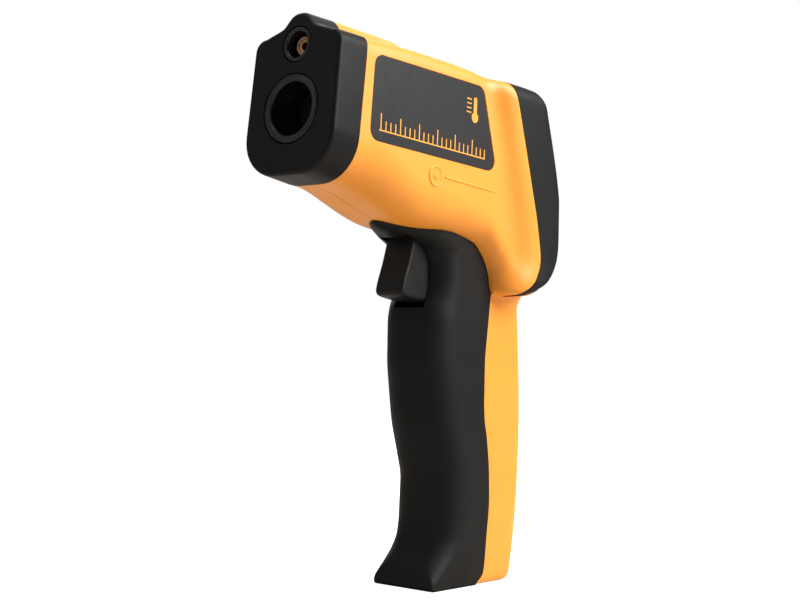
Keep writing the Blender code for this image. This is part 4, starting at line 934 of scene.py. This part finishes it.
def nose_pieces():
    """Black nose cap with its infrared aperture ring, laser bezel and brass laser barrel."""
    cap = nose_solid("nose_shell", 0.0, 0.0, SEAM, 1.3)
    cap = cut(cap, nose_solid("nose_hollow", 2.0, 2.6, -6.0, 0.0))
    face_ir, face_laser = nose_face_x(IR_AXIS_Z), nose_face_x(LASER_AXIS_Z)
    mouth = turned("nose_ir_hole", [(0.0, -3.0), (9.75, -3.0), (9.75, 0.0), (9.5, 0.1), (9.35, 0.3),
                                    (9.3, 0.6),
                                    (9.3, 9.0), (0.0, 9.0)], (face_ir, 0, IR_AXIS_Z), ALONG_X, 96, NOSE_LEAN,
                                    4.0)
    cap = cut(cap, mouth)
    boss = trim(rod("laser_boss", (-48.0, 0, LASER_AXIS_Z), (-39.5, 0, LASER_AXIS_Z), 5.6, 48),
                nose_solid("boss_room", 0.8, 1.0, GAP, 0.0))
    cap = join(cap, boss)
    cap = cut(cap, rod("laser_hole", (-60, 0, LASER_AXIS_Z), (-30, 0, LASER_AXIS_Z), 3.45, 48))
    seat = turned("bezel_seat", [(0.0, -3.0), (5.0, -3.0), (5.0, 0.0), (4.85, 0.08), (4.78, 0.25),
                                 (4.76, 0.5),
                                 (4.76, 2.1), (0.0, 2.1)], (face_laser, 0, LASER_AXIS_Z), ALONG_X, 72,
                                 NOSE_LEAN, 2.0)
    cap = cut(cap, seat)
    piece(cap, "housing", NOSE, ("nose_cap",))

    ring = turned("aperture_ring", [(9.12, 0.5), (9.05, 0.2), (8.85, 0.05), (8.65, 0.02), (8.5, 0.14),
                                    (8.35, 0.16),
                                    (8.2, 0.05), (7.7, 0.0), (7.35, 0.1), (7.12, 0.4), (7.05, 0.9),
                                    (7.0, 4.3),
                                    (9.12, 4.3), (9.12, 0.5)], (face_ir + 0.04, 0, IR_AXIS_Z), ALONG_X, 96,
                                    NOSE_LEAN, 4.0)
    piece(ring, "housing", RING, ("ir_aperture_ring",), 50.0)
    bezel = turned("laser_bezel_ring", [(4.62, 0.35), (4.55, 0.12), (4.35, 0.02), (4.1, 0.0), (3.75, 0.1),
                                        (3.5, 0.35),
                                        (3.35, 0.8), (3.3, 1.9), (4.62, 1.9), (4.62, 0.35)],
                   (face_laser + 0.05, 0, LASER_AXIS_Z), ALONG_X, 72, NOSE_LEAN, 1.9)
    piece(bezel, "housing", RING, ("laser_bezel",), 50.0)
    barrel_profile = [(0.95, 2.4), (0.95, 0.75), (1.05, 0.5), (1.3, 0.42), (1.7, 0.4), (1.78, 0.12),
                      (1.95, 0.02),
                      (2.35, 0.0), (2.6, 0.12), (2.7, 0.4), (2.72, 0.9), (3.05, 1.15), (3.1, 1.5)]
    for groove in range(8):
        start = 2.2 + groove * 1.1
        barrel_profile += [(3.1, start), (2.98, start + 0.1), (2.98, start + 0.3), (3.1, start + 0.4)]
    barrel_profile += [(3.1, 12.0), (1.6, 12.0), (1.6, 3.0), (0.95, 2.4)]
    laser = turned("laser_barrel_turned", barrel_profile, (-45.0, 0, LASER_AXIS_Z), ALONG_X, 64)
    piece(laser, "housing", BRASS, ("laser_barrel",))


def optics():
    """Lens tube with baffle rings inside its mouth, and the domed infrared lens."""
    mouth = [(7.2, 0.0)]
    for step in range(6):
        start = 0.5 + step * 0.7
        mouth += [(7.2, start), (7.45, start + 0.25), (7.45, start + 0.4), (7.2, start + 0.45)]
    profile = mouth + [(7.2, 8.0), (6.2, 8.0), (6.2, 21.0), (4.6, 22.5), (4.6, 25.0), (8.7, 25.0),
                       (8.9, 24.8),
                       (8.9, 0.2), (8.7, 0.0), (7.2, 0.0)]
    piece(turned("lens_tube_turned", profile, (-44.6, 0, IR_AXIS_Z), ALONG_X, 72), "housing", BORE,
          ("lens_tube",))
    dome = [(0.0, 0.0)] + [(6.9 * math.sin(angle), 1.3 * (1 - math.cos(angle)) / (1 - math.cos(1.2)))
                           for angle in spread(0.0, 1.2, 12)[1:]]
    reach = dome[-1][0]
    dome = [(radius * 6.9 / reach, distance) for radius, distance in dome]
    piece(turned("infrared_optic", dome + [(6.9, 2.5), (0.0, 2.5)], (-39.6, 0, IR_AXIS_Z), ALONG_X, 64),
          "housing",
          SILICON, ("ir_lens",))


# ---------------------------------------------------------------- display cap, window and keys

def face_frame(point=FACE_POINT, depth=0.0):
    """Matrix whose X runs across the cap, Y up its sloping face and Z out of it."""
    origin = point - FACE_NORMAL * depth
    across = Vector((0.0, 1.0, 0.0))
    matrix = Matrix.Identity(4)
    for row in range(3):
        matrix[row][0] = across[row]
        matrix[row][1] = FACE_UP[row]
        matrix[row][2] = FACE_NORMAL[row]
        matrix[row][3] = origin[row]
    return matrix


def rounded_rectangle(half_x, half_y, radius, shift=0.0, steps=7):
    points = []
    for index, (sx, sy) in enumerate(((1, 1), (-1, 1), (-1, -1), (1, -1))):
        for step in range(steps + 1):
            angle = math.pi / 2 * (index + step / steps)
            points.append((sx * (half_x - radius) + radius * math.cos(angle),
                           sy * (half_y - radius) + radius * math.sin(angle) + shift))
    return points


def face_plate(name, outline, depth_low, depth_high):
    """Plate with a given outline parallel to the sloping face, between two depths below it."""
    place = face_frame()
    rings = [[tuple(place @ Vector((u, v, -depth))) for u, v in outline] for depth in (depth_low,
                                                                                       depth_high)]
    return loft(name, rings, banded=False)


def display_cap_solid(name, inset=0.0, front=0.0, bottom_lift=0.0):
    """The display cap as a solid: a continuation of the barrel with rounded rear edges."""
    stations = [(0.0, 21.0, 84.7, 146.6, 5.0), (0.45, 21.4, 84.7, 146.6, 5.0),
                (0.75, 21.5, 84.7, 146.5, 5.0),
                (0.90, 21.1, 84.9, 146.0, 5.0), (0.97, 20.2, 85.3, 145.2, 5.0),
                (1.0, 18.9, 86.0, 144.0, 4.5)]
    shares = [front] if front < 0.0 else []
    shares += spread(0.0, 0.75, 12)[:-1] + spread(0.75, 0.95, 10)[:-1] + spread(0.95, 1.0, 9)
    rings = []
    for share in shares:
        half_width, bottom, top, radius = row_at(stations, share)
        half = section(half_width - inset, bottom + inset + bottom_lift, top - inset,
                       max(radius - inset, 1.0),
                       max(radius - inset, 1.0))
        rings.append(mirrored(half, lambda z, s=share: (along(REAR_EDGE, z) + SEAM) * (1 - s)
                              + (along(CAP_FACE, z) - inset) * s))
    return loft(name, rings)


def oval(grow, half_width=4.2, half_height=2.9, steps=48):
    points = []
    for step in range(steps):
        angle = 2 * math.pi * step / steps
        cosine, sine = math.cos(angle), math.sin(angle)
        points.append((math.copysign(abs(cosine) ** 0.7, cosine) * (half_width + grow),
                       math.copysign(abs(sine) ** 0.7, sine) * (half_height + grow)))
    return points


def display_cap():
    cap = cut(display_cap_solid("cap_shell"), display_cap_solid("cap_hollow", SHELL, -0.6, 7.0))
    place = face_frame()
    for index, (across, up) in enumerate(BOARD_POSTS):
        cap = join(cap, rod(f"cap_post_{index}", place @ Vector((across, up, -1.0)),
                            place @ Vector((across, up, -7.6)), 2.2))
        cap = cut(cap, rod(f"post_bore_{index}", place @ Vector((across, up, -3.4)),
                           place @ Vector((across, up, -9.0)),
                           0.95, 20))
    cap = cut(cap, face_plate("window_seat", rounded_rectangle(14.35, 10.85, 2.0), -4.0, 1.0),
              face_plate("window_way", rounded_rectangle(12.6, 9.1, 1.2), -4.0, 4.0))
    for index, y in enumerate(KEY_PLACES):
        cap = cut(cap, prism(f"key_way_{index}", [(y + u, KEY_Z + v) for u, v in oval(GAP)], 44.0, 55.0,
                             across="X"))
    piece(cap, "housing", CAP, ("display_cap",))


SEGMENT_SHAPES = {"top": (0, 1, True), "middle": (0, 0, True), "bottom": (0, -1, True),
                  "upper_left": (-1, 0.5, False),
                  "upper_right": (1, 0.5, False), "lower_left": (-1, -0.5, False),
                  "lower_right": (1, -0.5, False)}


def display():
    """Clear window and the resting segments of four digits on the display's film."""
    rim = 0.25
    rings = []
    place = face_frame()
    for shrink, depth in ((rim, 0.05), (0.08, 0.1), (0.0, 0.3), (0.0, 0.9)):
        outline = rounded_rectangle(14.15 - shrink, 10.65 - shrink, 1.9 - shrink)
        rings.append([tuple(place @ Vector((u, v, -depth))) for u, v in outline])
    piece(loft("window_pane", rings, banded=False), "housing", WINDOW, ("display_window",))
    digits = None
    half_x, half_y, bar = 1.55, 2.9, 0.42
    for digit, centre in enumerate((-8.6, -4.2, 0.2, 4.6)):
        for across, up, level in SEGMENT_SHAPES.values():
            u, v = centre + across * half_x, up * half_y - 0.4
            long_half = half_x - 0.3 if level else half_y / 2 - 0.3
            wide, tall = (long_half, bar) if level else (bar, long_half)
            tip = bar * 0.9
            if level:
                outline = [(u - wide - tip, v), (u - wide, v - tall), (u + wide, v - tall),
                           (u + wide + tip, v),
                           (u + wide, v + tall), (u - wide, v + tall)]
            else:
                outline = [(u, v - tall - tip), (u + wide, v - tall), (u + wide, v + tall),
                           (u, v + tall + tip),
                           (u - wide, v + tall), (u - wide, v - tall)]
            outline = [(x * 0.98 + 0.02 * u, y * 0.98 + 0.02 * v) for x, y in outline]
            bar_solid = face_plate(f"segment_{digit}_{across}_{up}", outline, 2.08, 2.16)
            digits = bar_solid if digits is None else join(digits, bar_solid)
    digits = join(digits, face_plate("point", rounded_rectangle(0.4, 0.4, 0.2, -3.3), 2.08, 2.16))
    digits.name = "lcd_digits"
    piece(digits, "housing", SEGMENTS)


def keys():
    """Three domed oval keys, each with a small raised mark."""
    for index, y in enumerate(KEY_PLACES):
        rings = []
        for x, grow in ((46.2, 0.65), (47.55, 0.65), (47.7, 0.5), (47.75, 0.0), (49.6, 0.0), (50.0, -0.08),
                        (50.25, -0.3), (50.36, -0.7), (50.40, -1.4)):
            rings.append([(x, y + u, KEY_Z + v) for u, v in oval(grow)])
        cap = loft(f"key_{index + 1}_dome", rings, banded=False)
        body = ("key_left", "key_middle", "key_right")[index]
        piece(cap, body, RUBBER, (f"key_{index + 1}_cap",))
        if index == 1:
            mark = [(y + 1.15 * math.cos(angle), KEY_Z + 1.15 * math.sin(angle)) for angle in spread(0,
                                                                                                     2 * math.pi, 24)[:-1]]
        else:
            lift = 1.0 if index == 0 else -1.0
            mark = [(y - 1.3, KEY_Z - 0.75 * lift), (y + 1.3, KEY_Z - 0.75 * lift), (y, KEY_Z + 1.2 * lift)]
        piece(prism(f"key_{index + 1}_mark", mark, 50.34, 50.44, across="X"), body, KEY_PRINT)


# ---------------------------------------------------------------- grip cover and trigger

def grip_cover():
    """Black front of the handle with the trigger window and its hinge knuckles."""
    door = trim(handle("grip_shell"), cover_zone("door_zone", 0.0))
    door = cut(door, handle_hollow("door_hollow"), barrel("door_barrel", GAP - 0.1, -0.01, 1.01),
               block("door_window", (-5.5, -5.35, 79.4), (16.0, 5.35, 108.0)))
    pivot_x, pivot_z = DOOR_PIVOT
    door = cut(door, block("door_sole_room", (pivot_x, -9.3, -2.0), (40.0, 9.3, 2.2)))
    for side in (-1, 1):
        ends = sorted((side * 6.0, side * 9.9))
        knuckle = join(rod(f"knuckle_{side + 1}", (pivot_x, ends[0], pivot_z), (pivot_x, ends[1], pivot_z),
                           2.5),
                       block(f"web_{side + 1}", (6.6, ends[0], 2.2), (pivot_x, ends[1], 5.8)))
        door = join(door, trim(knuckle, handle(f"knuckle_room_{side + 1}", -0.6)))
    door = cut(door, rod("door_bore", (pivot_x, -9.2, pivot_z), (pivot_x, 9.2, pivot_z), HINGE_BORE),
               rod("lug_room", (pivot_x, -5.7, pivot_z), (pivot_x, 5.7, pivot_z), 2.75))
    piece(door, "cover", GRIP, ("battery_door",))


def trigger():
    """Finger lever with rounded edges, its pivot boss and the spring seat in its back."""
    pivot_x, pivot_z = TRIGGER_PIVOT
    outline = [(pivot_x + 3.0 * math.cos(angle), pivot_z + 3.0 * math.sin(angle)) for angle in spread(0,
                                                                                                      math.pi, 20)]
    front = [(-1.6, 101.0), (-2.1, 98.2), (-2.9, 95.0), (-4.1, 91.0), (-5.4, 87.4), (-6.2, 84.5),
             (-6.15, 83.0),
             (-5.0, 82.1), (-2.0, 81.6), (1.5, 81.2), (5.5, 80.9), (8.4, 81.2), (9.4, 82.4), (9.5, 85.0),
             (9.0, 92.0),
             (7.0, 98.0), (5.2, 101.5)]
    outline += [(spot.x, spot.y) for spot in smooth_through([(x, z, 0.0) for x, z in front], 5)]
    lever = bevelled(prism("trigger_shell", outline, -5.05, 5.05), 1.15, 5, 60.0)
    lever = cut(lever, rod("trigger_bore", (pivot_x, -8, pivot_z), (pivot_x, 8, pivot_z), PIVOT_BORE),
                rod("spring_seat", (8.0, 0, SPRING_Z), (14.0, 0, SPRING_Z), 2.6))
    piece(lever, "trigger_lever", TRIGGER, ("trigger",), 40.0)


# ---------------------------------------------------------------- screws, spring and leads

def housing_screws():
    """Cross-recess pan head screws in the wells of the right shell."""
    for index, ((x, z), seat) in enumerate(zip(SCREW_POINTS, SCREW_SEATS)):
        start = seat + 1.7
        length = seat + 5.5
        profile = [(0.0, 0.0), (0.9, 0.04), (1.5, 0.22), (1.8, 0.55), (1.9, 0.9), (1.9, 1.5), (0.92, 1.5)]
        turns = int((length - 1.2) / 0.7)
        for turn in range(turns):
            base = 1.7 + turn * 0.7
            profile += [(0.74, base), (0.95, base + 0.3), (0.95, base + 0.38), (0.74, base + 0.68)]
        profile += [(0.72, length + 0.9), (0.15, length + 1.45), (0.0, length + 1.5)]
        made = turned(f"cross_screw_{index + 1}", profile, (x, start, z), (0, -1, 0), 28)
        for turn_angle in (0.3, 0.3 + math.pi / 2):
            slot_turn = Matrix.Translation((x, start, z)) @ Matrix.Rotation(turn_angle, 4, "Y")
            made = cut(made, block(f"cross_{index}", (-1.15, -0.85, -0.24), (1.15, 0.4, 0.24), slot_turn))
        piece(made, "housing", DARK_STEEL, (f"housing_screw_{index + 1}",))


def spring_and_leads():
    """Round-wire return spring, and the insulated leads."""
    start, end, wire = 8.5, 16.6, 0.28
    turns, steps = 5, 28
    coils = []
    for step in range(turns * steps + 1):
        share = step / (turns * steps)
        eased = min(max((share - 0.12) / 0.76, 0.0), 1.0)
        angle = 2 * math.pi * turns * share
        coils.append((start + wire + (end - start - 2 * wire) * eased, 1.9 * math.cos(angle),
                      SPRING_Z + 1.9 * math.sin(angle)))
    spring = piece(tube("return_spring", coils, wire, 10), "housing", SPRING_STEEL,
                   ("trigger_spring",))
    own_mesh(spring)
    red = [(25.0, -2.0, 62.9), (25.0, -2.0, 70.0), (24.6, -2.6, 80.0), (24.0, -4.0, 92.0),
           (25.0, -5.5, 104.0),
           (28.0, -6.0, 114.0), (31.6, -6.0, 120.0)]
    black = [(28.5, 2.0, 62.9), (28.5, 2.0, 70.0), (28.0, 2.6, 80.0), (26.6, 4.0, 92.0), (26.4, 5.5, 104.0),
             (28.4, 6.0, 114.0), (31.6, 6.0, 120.0)]
    laser = [(-31.1, 0.0, 141.0), (-26.0, 0.0, 140.6), (-14.0, 0.0, 141.2), (0.0, 0.0, 141.6),
             (6.0, 3.2, 137.0),
             (16.0, 4.4, 134.0), (24.0, 4.0, 133.0), (29.6, 4.0, 132.0)]
    for name, route, radius, look, slot, node in (("red_wire", red, 0.6, RED_LEAD, "red_wire", "lead_red"),
                                                  ("black_wire", black, 0.6, BLACK_LEAD, "black_wire",
                                                   "lead_black"),
                                                  ("laser_wire", laser, 0.5, RED_LEAD, "red_wire",
                                                   "laser_lead")):
        piece(tube(name, smooth_through(route, 10), radius, 14), "housing", look, (node,))


# ---------------------------------------------------------------- CAD nodes that show as they are

NODE_LOOKS = {
    "thermopile_can": STEEL, "sensor_board": BOARD, "laser_lens": LASER_GLASS, "laser_diode": STEEL,
    "laser_board": BOARD, "trigger_pin": STEEL, "trigger_switch": CHIP, "trigger_plunger": INNER,
    "trigger_board": BOARD, "inner_frame": INNER, "battery_case": BATTERY, "terminal_positive": STEEL,
    "terminal_negative": STEEL, "snap_connector": ELASTOMER, "door_pin": STEEL, "lcd_panel": LCD,
    "lcd_frame": INNER, "contact_strip": ELASTOMER, "display_board": BOARD, "controller_chip": CHIP,
    "key_board": BOARD, "buzzer": CHIP, "board_screw_1": DARK_STEEL, "board_screw_2": DARK_STEEL,
}


def dress_nodes():
    """Give every CAD node that still shows its detailed material."""
    for name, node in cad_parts.items():
        if node.hide_render:
            continue
        look = NODE_LOOKS.get(name)
        if look is None:
            look = RUBBER if name.endswith("_plunger") else CHIP
        for slot in node.material_slots:
            slot.material = look
        if not node.material_slots:
            node.data.materials.append(look)


# ---------------------------------------------------------------- stage

CAMERA_PLACE = (-0.29305, -0.23248, 0.06083)
CAMERA_AZIMUTH = -51.497
CAMERA_ELEVATION = -3.135
CAMERA_ROLL = 2.136
CAMERA_LENS = 59.50


def camera():
    """Camera at the photograph's viewing angle."""
    azimuth, elevation, roll = (math.radians(value) for value in (CAMERA_AZIMUTH, CAMERA_ELEVATION,
                                                                  CAMERA_ROLL))
    back = Vector((math.sin(azimuth) * math.cos(elevation), -math.cos(azimuth) * math.cos(elevation),
                   math.sin(elevation)))
    right = (-back).cross(Vector((0.0, 0.0, 1.0))).normalized()
    up = right.cross(-back)
    turned_right = math.cos(roll) * right + math.sin(roll) * up
    turned_up = -math.sin(roll) * right + math.cos(roll) * up
    data = bpy.data.cameras.new("camera")
    data.lens = CAMERA_LENS
    data.sensor_width = 36.0
    data.clip_start = 0.01
    made = new_object("camera", data)
    matrix = Matrix.Identity(4)
    for row in range(3):
        matrix[row][0] = turned_right[row]
        matrix[row][1] = turned_up[row]
        matrix[row][2] = back[row]
        matrix[row][3] = CAMERA_PLACE[row]
    made.matrix_world = matrix
    bpy.context.scene.camera = made


def softbox(name, azimuth, elevation, distance, size, power):
    """Square area light aimed at the middle of the object."""
    a, e = math.radians(azimuth), math.radians(elevation)
    away = Vector((math.sin(a) * math.cos(e), -math.cos(a) * math.cos(e), math.sin(e)))
    data = bpy.data.lights.new(name, "AREA")
    data.shape = "SQUARE"
    data.size = size
    data.energy = power
    made = new_object(name, data)
    made.matrix_world = Matrix.Translation(Vector((0.0, 0.0, 0.08)) + away * distance) @ away.to_track_quat(
        "Z", "Y").to_matrix().to_4x4()


def stage():
    """Pale floor, white surround that lights the object only faintly, and soft studio lights."""
    floor = solid("floor", [(-3000, -3000, -0.6), (3000, -3000, -0.6), (3000, 3000, -0.6),
                            (-3000, 3000, -0.6),
                            (-3000, -3000, -0.05), (3000, -3000, -0.05), (3000, 3000, -0.05),
                            (-3000, 3000, -0.05)],
                  [(0, 1, 2, 3), (4, 5, 6, 7), (0, 1, 5, 4), (1, 2, 6, 5), (2, 3, 7, 6), (3, 0, 4, 7)])
    pale = plastic("pale_floor", (0.55, 0.50, 0.45), 0.7, 800.0, 0.02, 0.01, 0.0, 0.05, 0.2)
    glow = pale.node_tree.nodes["Principled BSDF"]
    seen = pale.node_tree.nodes.new("ShaderNodeLightPath")
    glow.inputs["Emission Color"].default_value = (1.0, 1.0, 1.0, 1.0)
    pale.node_tree.links.new(seen.outputs["Is Camera Ray"], glow.inputs["Emission Strength"])
    floor.data.materials.append(pale)
    world = bpy.data.worlds.new("studio")
    world.use_nodes = True
    surround = world.node_tree.nodes["Background"]
    path = world.node_tree.nodes.new("ShaderNodeLightPath")
    share = world.node_tree.nodes.new("ShaderNodeMapRange")
    share.inputs["To Min"].default_value = 0.16
    share.inputs["To Max"].default_value = 1.0
    world.node_tree.links.new(path.outputs["Is Camera Ray"], share.inputs["Value"])
    surround.inputs["Color"].default_value = (1.0, 1.0, 1.0, 1.0)
    world.node_tree.links.new(share.outputs["Result"], surround.inputs["Strength"])
    bpy.context.scene.world = world
    softbox("key", 26.0, 36.0, 0.9, 0.6, 13.5)
    softbox("fill", -115.0, 25.0, 1.0, 0.8, 1.0)
    softbox("top", 40.0, 82.0, 0.9, 0.8, 4.0)
    softbox("rear", 140.0, 30.0, 1.0, 0.8, 4.0)
    bpy.context.scene.view_settings.view_transform = "Standard"


camera()
stage()
housing_halves()
film_and_print()
side_marks()
nose_pieces()
optics()
display_cap()
display()
keys()
grip_cover()
trigger()
housing_screws()
spring_and_leads()
dress_nodes()
